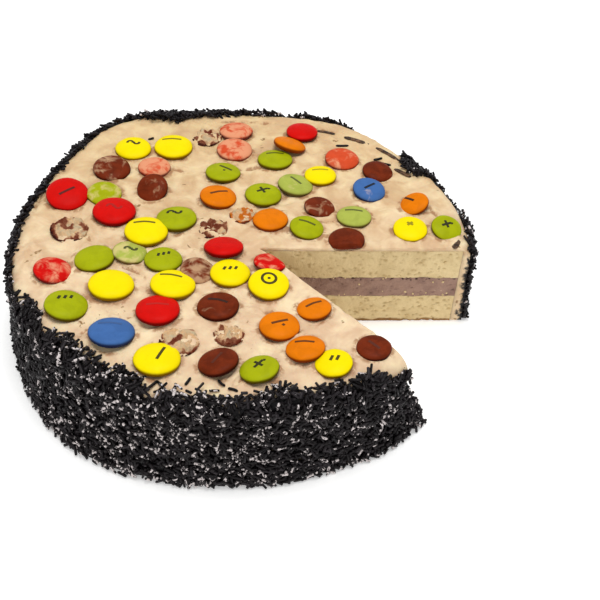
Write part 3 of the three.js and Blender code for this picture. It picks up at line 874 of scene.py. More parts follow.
def icing_body(sweets):
    """The icing as one closed body: top, rounded edge and side, and the inside that lies on the sponge."""
    on_top, on_rounding, on_side, _ = ICING_ROWS
    bm, column, row = grid_mesh(ICING_COLUMNS, sum(ICING_ROWS))
    angle = BACK_CUT + (FRONT_CUT - BACK_CUT) * column / ICING_COLUMNS
    middle = seen_from_middle(angle)
    lap = from_table(LAP, middle) * MM
    side = side_reach(angle) + CREAM_SIDE
    rim = side - ROUNDING_IN
    reach = rim * row / on_top
    level = edge_level(middle)
    height = CREAM_LEVEL + (level - CREAM_LEVEL) * smooth_step(rim - RIM_WIDTH, rim, reach)
    turn = np.clip((row - on_top) / on_rounding, 0, 1) * 0.5 * math.pi
    edge_foot = level - ROUNDING_DOWN
    edge_reach = side + ROUNDING_OUT + heap_at(middle, edge_foot)
    rounding = row > on_top
    reach[rounding] = (rim + (edge_reach - rim) * np.sin(turn))[rounding]
    height[rounding] = (edge_foot + ROUNDING_DOWN * np.cos(turn))[rounding]
    down = row > on_top + on_rounding
    part = (row - on_top - on_rounding) / on_side
    side_height = edge_foot + (CREAM_FOOT - edge_foot) * part
    reach[down] = (side + ROUNDING_OUT + heap_at(middle, side_height))[down]
    height[down] = side_height[down]
    inner = row - (on_top + on_rounding + on_side)
    underside = CREAM_LEVEL - bpy.context.scene.cake_sizes.cream_top
    on_sponge = side_reach(angle) + 0.2 * MM
    steps = ((on_sponge, CREAM_FOOT), (on_sponge, underside), (0 * side, underside))
    for step, (inner_reach, inner_height) in enumerate(steps, 1):
        reach[inner == step] = inner_reach[inner == step]
        height[inner == step] = inner_height
    place = on_plan(angle, reach)
    shown = row <= on_top + on_rounding
    height[shown] += cream_relief(place[shown], sweets) * np.cos(turn)[shown]
    wobble = noise_at(at_height(place, height), 9 * MM, 70)
    out = (0.7 * MM * wobble * np.clip((row - 0.8 * on_top) / (0.2 * on_top), 0, 1)) * (inner <= 0)
    place = on_plan(angle, reach + out)
    put_corners(bm, at_height(place, height))
    past_edge = np.where(rounding, ROUNDING_DOWN * turn, reach - rim)
    # Where the coat covers the cream, which the cream's colour paints sprinkle-dark
    coated = smooth_step(1 * MM, 4 * MM, past_edge + lap - 2 * MM)
    coated = np.where(down, 1, coated) * (inner <= 0)
    # Painted shade in the grooves and round the sweets, which the cream's colour reads
    groove_and_ring_shade = np.maximum(grooves_at(place)[0], sweet_shade_ring_at(place, sweets)) * (inner <= 0)
    keep_values(bm, "coated", coated)
    keep_values(bm, "groove", groove_and_ring_shade)
    close_at_tip(bm, column, row)
    return bm


def close_at_tip(bm, column, row):
    """Merges the corners that lie at the wedge's tip and closes the two cut ends with a face each."""
    ends = []
    for edge_column in (0, ICING_COLUMNS):
        order = np.nonzero(column == edge_column)[0]
        ends.append(order[np.argsort(row[order])])
    bm.verts.ensure_lookup_table()
    at_tip = [[bm.verts[index] for index in np.nonzero(row == level)[0]] for level in (0, row.max())]
    rims = [[bm.verts[index] for index in order[1:-1]] for order in ends]
    for group in at_tip:
        bmesh.ops.pointmerge(bm, verts=group, merge_co=group[0].co)
    top_tip, foot_tip = (group[0] for group in at_tip)
    for rim in rims:
        bm.faces.new([top_tip, *rim, foot_tip])


def crumb_relief(places):
    """The pores of the cut crumb at each place, its rough ground and its broad waves."""
    deep = np.zeros(len(places))
    for size, shift, strength in ((3.4 * MM, 3.0, 0.8), (1.9 * MM, 8.0, 0.7)):
        for index, place in enumerate(places * FLAT_PORES / size + shift):
            distances, centres = noise.voronoi(Vector(place))
            chance = noise.cell(centres[0] * 7.3)
            width = 0.22 + 0.3 * abs(chance)
            pore = max(0.0, 1.0 - distances[0] / width) if chance > -0.25 else 0.0
            deep[index] = max(deep[index], strength * min(1.0, 1.6 * pore))
    ground = 0.5 + 0.5 * noise_at(places, 1.3 * MM, 17)
    broad = noise_at(places, 14 * MM, 23)
    return deep, ground, broad


def layer_body(foot, top, openness):
    """A layer as a closed body with its two cut sides finely divided. Openness is how porous it is."""
    rows = max(20, round((top - foot) / CUT_ROW))
    columns = 2 * CUT_COLUMNS + ROUND_COLUMNS
    bm, column, row = grid_mesh(columns, rows)
    first_part = column <= CUT_COLUMNS
    last_part = column >= CUT_COLUMNS + ROUND_COLUMNS
    angle = BACK_CUT + (FRONT_CUT - BACK_CUT) * np.clip((column - CUT_COLUMNS) / ROUND_COLUMNS, 0, 1)
    reach = side_reach(angle)
    reach = np.where(first_part, reach * column / CUT_COLUMNS, reach)
    reach = np.where(last_part, reach * (columns - column) / CUT_COLUMNS, reach)
    place = on_plan(angle, reach)
    upright = at_height(place, foot + (top - foot) * row / rows)
    cut = first_part | last_part
    deep, ground, broad = np.zeros(len(row)), np.full(len(row), 0.5), np.zeros(len(row))
    deep[cut], ground[cut], broad[cut] = crumb_relief(upright[cut])
    if foot > MM and top < UPPER_TOP and openness < 0.5:
        torn = smooth_step(0.74, 0.94, row / rows) * smooth_step(0.05, 0.4, noise_at(upright, 1.7 * MM, 29))
        deep = np.where(cut, np.maximum(deep, 1.6 * torn), deep)
    waves_above, waves_below = (noise_at(at_height(place, level), 8 * MM, 3) for level in (top, foot))
    shift = waves_above * row / rows * (top < UPPER_TOP) + waves_below * (1 - row / rows) * (foot > MM)
    pores = bpy.context.scene.cake_sizes.pore_depth * deep * openness
    inward = pores + 0.45 * MM * ground + 0.5 * MM * broad * openness
    inward *= np.clip(np.minimum(column, columns - column) / 4, 0, 1)
    inward *= np.clip(np.abs(column - CUT_COLUMNS) / 2, 0, 1)
    across = np.radians(np.where(first_part, BACK_CUT + 90, FRONT_CUT - 90))
    upright[:, 0] += np.cos(across) * inward * cut
    upright[:, 1] += np.sin(across) * inward * cut
    upright[:, 2] += 0.9 * MM * shift
    put_corners(bm, upright)
    # How deep each pore is, which the materials read for their painted pore shade
    keep_values(bm, "pit", np.clip(deep * openness + 0.25 * (ground - 0.5), 0, 1))
    bmesh.ops.remove_doubles(bm, verts=bm.verts, dist=0.5e-6)
    bmesh.ops.holes_fill(bm, edges=[edge for edge in bm.edges if edge.is_boundary], sides=0)
    return bm


def read_sweet(name):
    """A sweet's centre, its axis and its radius, from its own solid or from the table of leaning sweets."""
    if name in LEANING_SWEETS:
        right, behind, across, lean, towards, lift = LEANING_SWEETS[name]
        radius = 0.5 * across * MM
        tilt, level = math.sin(math.radians(lean)), math.cos(math.radians(lean))
        rise = math.hypot(radius * tilt, radius * SWEET_THICKNESS * level) - SWEET_SINK + lift * MM
        way = math.radians(towards)
        axis = Vector((tilt * math.cos(way), tilt * math.sin(way), level))
        return Vector((right * MM, behind * MM, CREAM_LEVEL + rise)), axis, radius
    corners = np.array([vertex.co[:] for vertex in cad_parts[name].data.vertices])
    corners = np.unique(corners.round(6), axis=0)
    if len(corners) != WHOLE_SWEET_CORNERS:
        raise RuntimeError(f"{name} isn't a whole lens, so it needs a row in LEANING_SWEETS")
    centre = corners.mean(axis=0)
    _, ways = np.linalg.eigh(np.cov((corners - centre).T))
    axis = ways[:, 0] * np.sign(ways[2, 0])
    off_axis = (corners - centre) - np.outer((corners - centre) @ axis, axis)
    return Vector(centre), Vector(axis), float(np.linalg.norm(off_axis, axis=1).max())


def sweet_names():
    """The nodes of the sweets, in order."""
    return sorted(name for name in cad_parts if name.startswith("sweet_"))


def colour_of(name):
    """The name of a sweet's colour."""
    return name.removeprefix("sweet_").rsplit("_", 1)[0]


def lens_height(part):
    """How far a sweet's face is above its middle plane, in radii, at a part of its radius."""
    left = max(0.0, 1 - min(1.0, part) ** SWEET_ROUNDNESS)
    return SWEET_THICKNESS * left ** (1 / SWEET_ROUNDNESS)


def lens_body(steps=30, rings=7):
    """A sweet of radius 1 about the origin, its rounded profile spun round the Z axis."""
    bm = bmesh.new()
    profile = []
    for index in range(2 * rings + 1):
        turn = math.pi * (index / (2 * rings) - 0.5)
        reach = max(0.0, math.cos(turn)) ** (2 / SWEET_ROUNDNESS)
        level = math.copysign(abs(math.sin(turn)) ** (2 / SWEET_ROUNDNESS), turn) * SWEET_THICKNESS
        profile.append(bm.verts.new((reach if 0 < index < 2 * rings else 0, 0, level)))
    edges = [bm.edges.new(pair) for pair in zip(profile, profile[1:])]
    bmesh.ops.spin(bm, geom=profile + edges, cent=(0, 0, 0), axis=(0, 0, 1), angle=2 * math.pi,
                   steps=steps, use_merge=True, use_duplicate=False)
    bmesh.ops.remove_doubles(bm, verts=bm.verts, dist=1e-5)
    return bm


def uneven(place, index):
    """A place on an even lens, moved as the shell of the sweet with this index is uneven."""
    return place * (1 + 0.025 * noise.noise(place * 1.6 + Vector((index, 0, 0))))


def sweet_frame(centre, axis, radius):
    """The matrix that takes a lens of radius 1 to its place, with its up side away from the viewer."""
    right = Vector((1, 0, 0))
    right = (right - axis * right.dot(axis)).normalized()
    up = axis.cross(right)
    turn = Matrix((right, up, axis)).transposed().to_4x4()
    return Matrix.Translation(centre) @ turn @ Matrix.Scale(radius, 4)


def arc(right, up, size, start, end, points=9):
    """Points along a round stroke."""
    turns = [math.radians(start + (end - start) * step / (points - 1)) for step in range(points)]
    return [(right + size * math.cos(turn), up + size * math.sin(turn)) for turn in turns]


def mark_strokes(shape):
    """The strokes of a plain ink mark, in parts of the sweet's radius about the mark's own middle."""
    shapes = {
        "dash": [[(-0.5, -0.02), (0, 0.03), (0.5, -0.02)]],
        "slash": [[(-0.42, 0), (0.42, 0)]],
        "cross": [[(-0.3, -0.16), (0.3, 0.16)], [(-0.12, 0.26), (0.12, -0.26)], [(0.3, 0.16), (0.4, 0.08)]],
        "small_cross": [[(-0.16, -0.12), (0.16, 0.12)], [(-0.16, 0.12), (0.16, -0.12)]],
        "ring": [arc(0, 0, 0.34, 0, 360, 17), [(-0.07, 0), (0.07, 0)]],
        "ticks": [[(-0.34, -0.12), (-0.22, 0.1)], [(-0.06, -0.12), (0.06, 0.1)], [(0.22, -0.12), (0.34, 0.1)]],
        "curls": [arc(-0.18, 0, 0.15, 200, -20), arc(0.18, 0, 0.15, 160, 380)],
        "ticked": [[(-0.42, 0), (0.42, 0)], [(0.06, -0.22), (0.12, -0.34)]],
        "pair": [[(-0.22, -0.18), (-0.06, 0.16)], [(0.1, -0.2), (0.26, 0.14)]],
    }
    return shapes[shape]


def stroke_body(bm, points, half_width):
    """A flat stroke of even width along some points, with square ends."""
    places = [Vector(point) for point in points]
    pairs = []
    for index, place in enumerate(places):
        ahead = places[min(index + 1, len(places) - 1)] - places[max(index - 1, 0)]
        across = Vector((-ahead.y, ahead.x)).normalized() * half_width
        pairs.append((bm.verts.new((*(place + across), 0)), bm.verts.new((*(place - across), 0))))
    for (left, right), (next_left, next_right) in zip(pairs, pairs[1:]):
        bm.faces.new((left, right, next_right, next_left))


def finer(points, step=0.07):
    """The same stroke with points no more than a step apart."""
    fine = [Vector(points[0])]
    for point in points[1:]:
        start, end = fine[-1].copy(), Vector(point)
        count = max(1, math.ceil((end - start).length / step))
        fine.extend(start.lerp(end, index / count) for index in range(1, count + 1))
    return fine


def mark_body(bm, name, sweet, colour):
    """Adds a sweet's ink mark to a bmesh, lying on the sweet's rounded face."""
    shape, turn, right, up, strength = MARKS[name]
    mark = bmesh.new()
    for points in mark_strokes(shape):
        stroke_body(mark, finer(points), INK_HALF_WIDTH / sweet[2])
    rotation = Matrix.Rotation(math.radians(turn), 4, "Z")
    bmesh.ops.transform(mark, matrix=Matrix.Translation((right, up, 0)) @ rotation, verts=mark.verts)
    bmesh.ops.remove_doubles(mark, verts=mark.verts, dist=1e-4)
    extruded = bmesh.ops.extrude_face_region(mark, geom=mark.faces[:])
    raised = {part for part in extruded["geom"] if isinstance(part, bmesh.types.BMVert)}
    lift = INK_THICKNESS / sweet[2]
    index = sweet_names().index(name)
    for vertex in mark.verts:
        surface = lens_height(math.hypot(vertex.co.x, vertex.co.y))
        vertex.co = uneven(Vector((vertex.co.x, vertex.co.y, surface)), index)
        vertex.co.z += lift if vertex in raised else -3 * lift
    bmesh.ops.transform(mark, matrix=sweet_frame(*sweet), verts=mark.verts)
    bmesh.ops.recalc_face_normals(mark, faces=mark.faces)
    mesh = make_mesh(mark, "mark")
    before = len(bm.verts)
    bm.from_mesh(mesh)
    bpy.data.meshes.remove(mesh)
    layer = bm.verts.layers.float_color.get("ink") or bm.verts.layers.float_color.new("ink")
    bm.verts.ensure_lookup_table()
    ink = [part * (1 - 0.94 * strength) for part in colour]
    for vertex in bm.verts[before:]:
        vertex[layer] = (*ink, 1)


# Sprinkles


def sprinkle_template():
    """One straight sprinkle of length 1 and radius 1 along X with blunt ends, as corners and faces."""
    bm = bmesh.new()
    bmesh.ops.create_cone(bm, segments=SPRINKLE_SIDES, radius1=1, radius2=1, depth=0.86, cap_ends=True)
    ends = [face for face in bm.faces if len(face.verts) == SPRINKLE_SIDES]
    bmesh.ops.inset_individual(bm, faces=ends, thickness=0.35, use_even_offset=True)
    for vertex in bm.verts:
        if math.hypot(vertex.co.x, vertex.co.y) < 0.9:
            vertex.co.z = math.copysign(0.5, vertex.co.z)
    bmesh.ops.rotate(bm, verts=bm.verts, cent=(0, 0, 0), matrix=Matrix.Rotation(math.radians(90), 3, "Y"))
    bmesh.ops.recalc_face_normals(bm, faces=bm.faces)
    corners = np.array([vertex.co[:] for vertex in bm.verts])
    faces = [[vertex.index for vertex in face.verts] for face in bm.faces]
    bm.free()
    return corners, faces


def straight_side(middle):
    """How far up the side the coat is straight, where the rounding then begins."""
    return edge_level(middle) - ROUNDING_DOWN - CREAM_FOOT


ROUNDING_LENGTH = 0.5 * math.pi * ROUNDING_DOWN


def coat_place(angle, along):
    """The cream's surface under the coat at a distance from the foot: places, and how steep it faces up."""
    middle = seen_from_middle(angle)
    side = side_reach(angle) + CREAM_SIDE
    straight = straight_side(middle)
    turn = np.clip((along - straight) / ROUNDING_LENGTH, 0, 1) * 0.5 * math.pi
    height = CREAM_FOOT + np.minimum(along, straight) + ROUNDING_DOWN * np.sin(turn)
    outer = side + ROUNDING_OUT + heap_at(middle, np.minimum(height, straight + CREAM_FOOT))
    over = np.maximum(0, along - straight - ROUNDING_LENGTH)
    reach = outer - (outer - side + ROUNDING_IN) * (1 - np.cos(turn)) - over
    return at_height(on_plan(angle, reach), height), turn


def coat_length(angle):
    """How far the coat of sprinkles reaches from the foot up the side and over the top edge."""
    middle = seen_from_middle(angle)
    return straight_side(middle) + ROUNDING_LENGTH + (from_table(LAP, middle) - 2) * MM


def clear_of_wedge(place):
    """How far places are from the knife cuts, less than nothing inside the wedge."""
    right = place[:, 0] - CUT_TIP[0]
    behind = place[:, 1] - CUT_TIP[1]
    back, front = math.radians(BACK_CUT), math.radians(FRONT_CUT)
    behind_back = behind * math.cos(back) - right * math.sin(back)
    before_front = right * math.sin(front) - behind * math.cos(front)
    return np.maximum(behind_back, before_front)


def unit(rows):
    """Each row made one long."""
    return rows / np.linalg.norm(rows, axis=1, keepdims=True)


def scatter(name, material, places, ways, outs, lengths, radii, shades, smears):
    """One piece from many copies of a sprinkle, each at its place and lying its way."""
    corners, faces = sprinkle_template()
    across = unit(np.cross(outs, ways))
    many = places[:, None, :] + (lengths[:, None] * corners[None, :, 0])[..., None] * ways[:, None, :]
    for axis, side in ((1, across), (2, np.cross(ways, across))):
        many = many + (radii[:, None] * corners[None, :, axis])[..., None] * side[:, None, :]
    count = len(corners)
    starts = range(0, count * len(places), count)
    all_faces = [[start + corner for corner in face] for start in starts for face in faces]
    mesh = bpy.data.meshes.new(name)
    mesh.from_pydata(many.reshape(-1, 3).tolist(), [], all_faces)
    for attribute_name, values in (("shade", shades), ("smear", smears)):
        attribute = mesh.attributes.new(attribute_name, "FLOAT", "POINT")
        attribute.data.foreach_set("value", np.repeat(values, count).astype(np.float32))
    finish_piece(mesh, name, material)


def lift_off_floor(centre, ways, lengths, radii):
    """Raises the sprinkles that would reach below the floor."""
    lowest = centre[:, 2] - 0.5 * lengths * np.abs(ways[:, 2]) - radii
    centre[:, 2] += np.maximum(0, FLOOR_GAP - lowest)


def some_cream_and_glint(random, count, part=1.0):
    """How much pale cream and painted highlight is on each sprinkle: none on most of them."""
    share = part * bpy.context.scene.sprinkle_sizes.smeared
    return np.where(random.uniform(0, 1, count) < share, random.uniform(0.5, 1, count), 0)


def coat_sprinkles(random, count, low, high, standing):
    """Sprinkles on the coated side between two parts of its length, those of the edge standing up."""
    sizes = bpy.context.scene.sprinkle_sizes
    angle = random.uniform(BACK_CUT, FRONT_CUT, count)
    along = coat_length(angle) * random.uniform(low, high, count)
    if standing or high >= 1:
        along += random.normal(0, 1.1 * MM, count)
    place, turn = coat_place(angle, np.maximum(along, 0))
    way = np.radians(angle)
    out = np.column_stack([np.cos(way) * np.cos(turn), np.sin(way) * np.cos(turn), np.sin(turn)])
    level = at_height(np.column_stack([-np.sin(way), np.cos(way)]))
    uphill = np.cross(out, level) * -1
    uphill *= np.sign(uphill[:, 2:3] + 1e-9)
    slope = random.uniform(-1.5, 1.5, count)
    rise = random.normal(0, 0.34, count)
    lift = random.uniform(0.2, 2.9, count) * MM
    middle = seen_from_middle(angle)
    if standing:
        keep = random.uniform(0, 1, count) < from_table(STANDING, middle)
        rise = random.uniform(-0.2, 1.1, count)
        slope = random.uniform(-1.5, 1.5, count)
        lift = random.uniform(0.6, 3.6, count) * MM
    else:
        keep = np.ones(count, bool)
    ways = unit(np.cos(slope)[:, None] * level + np.sin(slope)[:, None] * uphill + rise[:, None] * out)
    lengths = sizes.length * random.uniform(0.62, 1.22, count)
    radii = 0.5 * sizes.thickness * random.uniform(0.85, 1.12, count)
    centre = place + out * lift[:, None]
    reach = 0.5 * lengths[:, None] * ways
    lift_off_floor(centre, ways, lengths, radii)
    for end in (centre + reach, centre - reach):
        keep &= clear_of_wedge(end) > -SPRINKLE_SLACK
    shades = np.clip(random.normal(0.05, 0.16, count), 0, 0.8)
    clean_edge = (high >= 1) & (middle > 10) & (middle < 170)
    part = from_table(CREAM_AND_GLINT_SHARE, middle) * np.where(standing | clean_edge, 0.25, 1)
    smears = some_cream_and_glint(random, count, part)
    return [rows[keep] for rows in (centre, ways, out, lengths, radii, shades, smears)]


def corner_heap(random, count):
    """Loose sprinkles at the foot of the coat that fell round the corner of the front cut."""
    sizes = bpy.context.scene.sprinkle_sizes
    height = 30 * MM * random.uniform(0, 1, count) ** 1.5 + 1.1 * MM
    spread = np.sqrt(1 - height / (32 * MM))
    beyond = random.uniform(-0.2, 1, count) * 16 * MM * spread
    reach = side_reach(FRONT_CUT) + random.uniform(-12, 8, count) * MM * spread + 3 * MM
    way = math.radians(FRONT_CUT)
    place = on_plan(np.full(count, FRONT_CUT), reach)
    centre = at_height(place + np.outer(beyond, [-math.sin(way), math.cos(way)]), height)
    ways = unit(np.column_stack([random.normal(0, spread_out, count) for spread_out in (1, 1, 0.3)]))
    outs = np.tile([0.02, 0.01, 1.0], (count, 1))
    lengths = sizes.length * random.uniform(0.6, 1.15, count)
    radii = 0.5 * sizes.thickness * random.uniform(0.85, 1.1, count)
    lift_off_floor(centre, ways, lengths, radii)
    shades = np.clip(random.normal(0.15, 0.15, count), 0, 0.8)
    return [centre, ways, unit(outs), lengths, radii, shades, some_cream_and_glint(random, count)]


def along_arc(turn, bend, length, steps=12):
    """How far a level arc leads from its start. The turn and the bend are in degrees."""
    place = Vector((0, 0, 0))
    for step in range(steps):
        way = math.radians(turn + bend * (step + 0.5) / steps)
        place += Vector((math.cos(way), math.sin(way), 0)) * (length / steps)
    return place


def bent_rod(bm, centre, turn, length, bend, radius, flat=1.0, steps=8, sides=6):
    """Adds a rod bent in a level arc to a bmesh, its ends rounded off."""
    ring = bmesh.ops.create_circle(bm, cap_ends=False, segments=sides, radius=radius)["verts"]
    bmesh.ops.rotate(bm, verts=ring, cent=(0, 0, 0), matrix=Matrix.Rotation(math.radians(90), 3, "Y"))
    edges = list({edge for vertex in ring for edge in vertex.link_edges})
    rings = [ring]
    for _ in range(steps):
        made = bmesh.ops.extrude_edge_only(bm, edges=edges)["geom"]
        rings.append([part for part in made if isinstance(part, bmesh.types.BMVert)])
        edges = [part for part in made if isinstance(part, bmesh.types.BMEdge)]
    start = turn - 0.5 * bend
    start_place = Vector(centre) - along_arc(start, 0.5 * bend, 0.5 * length)
    for index, ring in enumerate(rings):
        part = index / steps
        ease = min(1.0, 0.5 + 2.2 * min(part, 1 - part) * steps / 2)
        heading = math.radians(start + bend * part)
        ring_place = start_place + along_arc(start, bend * part, length * part)
        for vertex in ring:
            side, up = vertex.co.y * ease, vertex.co.z * ease * flat
            vertex.co = ring_place + Vector((-math.sin(heading) * side, math.cos(heading) * side, up))
    bmesh.ops.holes_fill(bm, edges=[edge for edge in bm.edges if edge.is_boundary], sides=0)


# Operators


class CAKE_OT_sponge(bpy.types.Operator):
    """Build the two sponges with their cut crumb"""

    bl_idname = "cake.sponge"
    bl_label = "Sponge"

    def execute(self, context):
        colours = context.scene.cake_colours
        lower = finish_mesh(layer_body(LOWER_FOOT, LOWER_JOIN, 1.0), "lower_sponge",
                            sponge_material(colours, "Lower sponge", CRUST_HEIGHT))
        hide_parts("sponge_bottom")
        top = CREAM_LEVEL - context.scene.cake_sizes.cream_top
        upper = finish_mesh(layer_body(UPPER_JOIN, top, 0.85), "upper_sponge",
                            sponge_material(colours, "Upper sponge", 0))
        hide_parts("sponge_top")
        return {"FINISHED"}


class CAKE_OT_filling(bpy.types.Operator):
    """Build the nut cream between the sponges"""

    bl_idname = "cake.filling"
    bl_label = "Filling"

    def execute(self, context):
        filling = finish_mesh(layer_body(LOWER_JOIN, UPPER_JOIN, 0.3), "nut_cream",
                              filling_material(context.scene.cake_colours))
        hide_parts("filling")
        return {"FINISHED"}


class CAKE_OT_icing(bpy.types.Operator):
    """Build the cream icing with its spatula marks"""

    bl_idname = "cake.icing"
    bl_label = "Icing"

    def execute(self, context):
        sweets = [read_sweet(name) for name in sweet_names()]
        icing = finish_mesh(icing_body(sweets), "cream_icing", cream_material(context.scene.cake_colours))
        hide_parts("icing")
        return {"FINISHED"}


class CAKE_OT_sweets(bpy.types.Operator):
    """Build the sweets that lie on top"""

    bl_idname = "cake.sweets"
    bl_label = "Sweets"

    def execute(self, context):
        colours = context.scene.sweet_colours
        for index, name in enumerate(sweet_names()):
            colour_name = colour_of(name)
            colour = tuple(getattr(colours, colour_name))
            amount = BLOOM.get(name, 0.0)
            label = f"{colour_name.replace('_', ' ').capitalize()} shell"
            if amount > 0:
                label += f" smeared {round(100 * amount)}"
            material = bpy.data.materials.get(label) or shell_material(
                label, colour, tuple(colours.bloom), amount, SHELL_DEPTH.get(colour_name, 0.75))
            bm = lens_body()
            # The height on the lens, which the shell material reads for its painted underside shade
            keep_values(bm, "level", [vertex.co.z for vertex in bm.verts])
            put_corners(bm, [uneven(vertex.co, index) for vertex in bm.verts])
            bmesh.ops.transform(bm, matrix=sweet_frame(*read_sweet(name)), verts=bm.verts)
            trim_at_cuts(bm)
            piece = finish_mesh(bm, name.replace("sweet_", "candy_"), material)
            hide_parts(name)
        return {"FINISHED"}


def trim_at_cuts(bm):
    """Cuts a sweet flat where the knife went through it, on the side of the wedge."""
    corners = np.array([vertex.co[:] for vertex in bm.verts])
    if clear_of_wedge(corners).min() > 0:
        return
    middle = corners.mean(axis=0) - np.array([*CUT_TIP, 0])
    level = bm.verts.layers.float["level"]
    for angle, side in ((BACK_CUT, -1), (FRONT_CUT, 1)):
        way = math.radians(angle)
        normal = Vector((-math.sin(way), math.cos(way), 0)) * side
        if middle @ np.array(normal) > 0:
            continue
        cut = bmesh.ops.bisect_plane(bm, geom=bm.verts[:] + bm.edges[:] + bm.faces[:], dist=1e-6,
                                     plane_co=(*CUT_TIP, 0), plane_no=normal, clear_outer=True)
        edges = [part for part in cut["geom_cut"] if isinstance(part, bmesh.types.BMEdge)]
        # Level 1 keeps the painted underside shade off the flat cut face
        for edge in edges:
            for vertex in edge.verts:
                vertex[level] = 1
        if edges:
            bmesh.ops.holes_fill(bm, edges=edges, sides=0)


class CAKE_OT_ink(bpy.types.Operator):
    """Draw the plain ink marks on the sweets"""

    bl_idname = "cake.ink"
    bl_label = "Ink marks"

    def execute(self, context):
        colours = context.scene.sweet_colours
        bm = bmesh.new()
        for name in MARKS:
            mark_body(bm, name, read_sweet(name), getattr(colours, colour_of(name)))
        finish_piece(make_mesh(bm, "ink_marks"), "ink_marks", ink_material(), smooth=False)
        return {"FINISHED"}


class CAKE_OT_sunk_sweets(bpy.types.Operator):
    """Build the sweets that are sunk and smeared with cream"""

    bl_idname = "cake.sunk_sweets"
    bl_label = "Sunk sweets"

    def execute(self, context):
        colours = context.scene.sweet_colours
        for index, (colour_name, right, behind, width, shown) in enumerate(SUNK_SWEETS, 1):
            bm = lens_body(steps=72, rings=16)
            shell = bm.verts.layers.float.new("shell")
            strength = min(1, 2.2 * shown)
            for vertex in bm.verts:
                outward = vertex.co.xy.length
                towards_front = -0.5 * vertex.co.x - 0.85 * vertex.co.y
                rough = noise.fractal(vertex.co * 2.6 + Vector((3 * index, 0, 0)), 0.8, 2.0, 3)
                blot = noise.noise(vertex.co * 1.9 + Vector((0, 5 * index, 0))) + 0.25 * rough
                # The shell shows as a crescent at the front edge, which also stands for the shade there
                rim = smooth_step(0.6, 0.88, outward + 0.12 * rough)
                rim *= smooth_step(0.0, 0.6, towards_front) * strength
                spots = smooth_step(0.18 - 0.5 * shown, 0.6 - 0.5 * shown, blot)
                # Painted shade on the front edge, put into the shell attribute above 1
                painted_front_shade = smooth_step(0.84, 0.97, outward) * smooth_step(-0.1, 0.5, towards_front)
                vertex[shell] = float(max(rim, spots) + painted_front_shade * strength)
                vertex.co.z = vertex.co.z * 0.6 + 0.26 * rough - 0.1 * max(rim, spots)
                vertex.co.x *= 1 + 0.08 * rough
            place = Matrix.Translation((right * MM, behind * MM, CREAM_LEVEL + 0.5 * SUNK_STANDS))
            lean = Matrix.Rotation(math.radians(5), 4, (math.cos(index), math.sin(index), 0))
            matrix = place @ lean @ Matrix.Scale(0.5 * width * MM, 4)
            bmesh.ops.transform(bm, matrix=matrix, verts=bm.verts)
            label = f"Smeared {colour_name} shell"
            material = bpy.data.materials.get(label) or smeared_material(label, getattr(colours, colour_name))
            piece = finish_mesh(bm, f"sunk_candy_{index}", material)
        return {"FINISHED"}


class CAKE_OT_sprinkles(bpy.types.Operator):
    """Press the chocolate sprinkles on the side and the top edge"""

    bl_idname = "cake.sprinkles"
    bl_label = "Sprinkles"

    def execute(self, context):
        sizes = context.scene.sprinkle_sizes
        material = sprinkle_material(context.scene.cake_colours)
        random = np.random.default_rng(sizes.seed)
        for band in range(SIDE_BANDS):
            low, high = band / SIDE_BANDS, (band + 1) / SIDE_BANDS
            rows = coat_sprinkles(random, sizes.on_side // SIDE_BANDS, low, high, False)
            scatter(f"sprinkles_side_{band + 1}", material, *rows)
        rows = coat_sprinkles(random, sizes.on_edge, EDGE_FROM, 1.0, True)
        scatter("sprinkles_edge", material, *rows)
        scatter("sprinkles_heap", material, *corner_heap(random, sizes.in_heap))
        return {"FINISHED"}


class CAKE_OT_strays(bpy.types.Operator):
    """Lay the loose sprinkles and the thin flakes on the cream"""

    bl_idname = "cake.strays"
    bl_label = "Loose sprinkles"

    def execute(self, context):
        bm = bmesh.new()
        radius = 0.5 * context.scene.sprinkle_sizes.thickness
        for right, behind, turn, length, bend, *lift in STRAYS:
            level = CREAM_LEVEL + 0.6 * radius + sum(lift) * MM
            bent_rod(bm, (right * MM, behind * MM, level), turn, length * MM, bend, radius)
        piece = finish_mesh(bm, "loose_sprinkles", bpy.data.materials["Dark chocolate sprinkles"])
        bm = bmesh.new()
        for right, behind, turn, length, width in FLAKES:
            place = (right * MM, behind * MM, CREAM_LEVEL + 0.2 * MM)
            bent_rod(bm, place, turn, length * MM, 14, 0.5 * width * MM, flat=0.3)
        piece = finish_mesh(bm, "thin_flakes", flake_material())
        return {"FINISHED"}


class CAKE_OT_crumbs(bpy.types.Operator):
    """Stick crumbs to the cuts"""

    bl_idname = "cake.crumbs"
    bl_label = "Crumbs"

    def execute(self, context):
        random = np.random.default_rng(CRUMB_SEED)
        bm = bmesh.new()
        for index in range(context.scene.cake_sizes.crumb_count):
            angle, inward = ((BACK_CUT, 90), (FRONT_CUT, -90))[index % 2]
            reach = random.uniform(0.06, 0.97) * side_reach(angle)
            heights = [random.uniform(low, high) * MM for low, high in CRUMB_HEIGHTS]
            way = math.radians(angle + inward)
            depth = random.uniform(0.1, 0.5) * MM
            right, behind = on_plan(angle, reach) + np.array([math.cos(way), math.sin(way)]) * depth
            centre = (right, behind, heights[index // 2 % len(heights)])
            size = random.uniform(0.3, 0.85) * MM
            made = bmesh.ops.create_icosphere(bm, subdivisions=1, radius=size)["verts"]
            for vertex in made:
                vertex.co *= random.uniform(0.7, 1.2)
            bmesh.ops.translate(bm, verts=made, vec=centre)
        crumbs = sponge_material(context.scene.cake_colours, "Crumbs", 0)
        piece = finish_mesh(bm, "crumbs", crumbs, smooth=False)
        return {"FINISHED"}


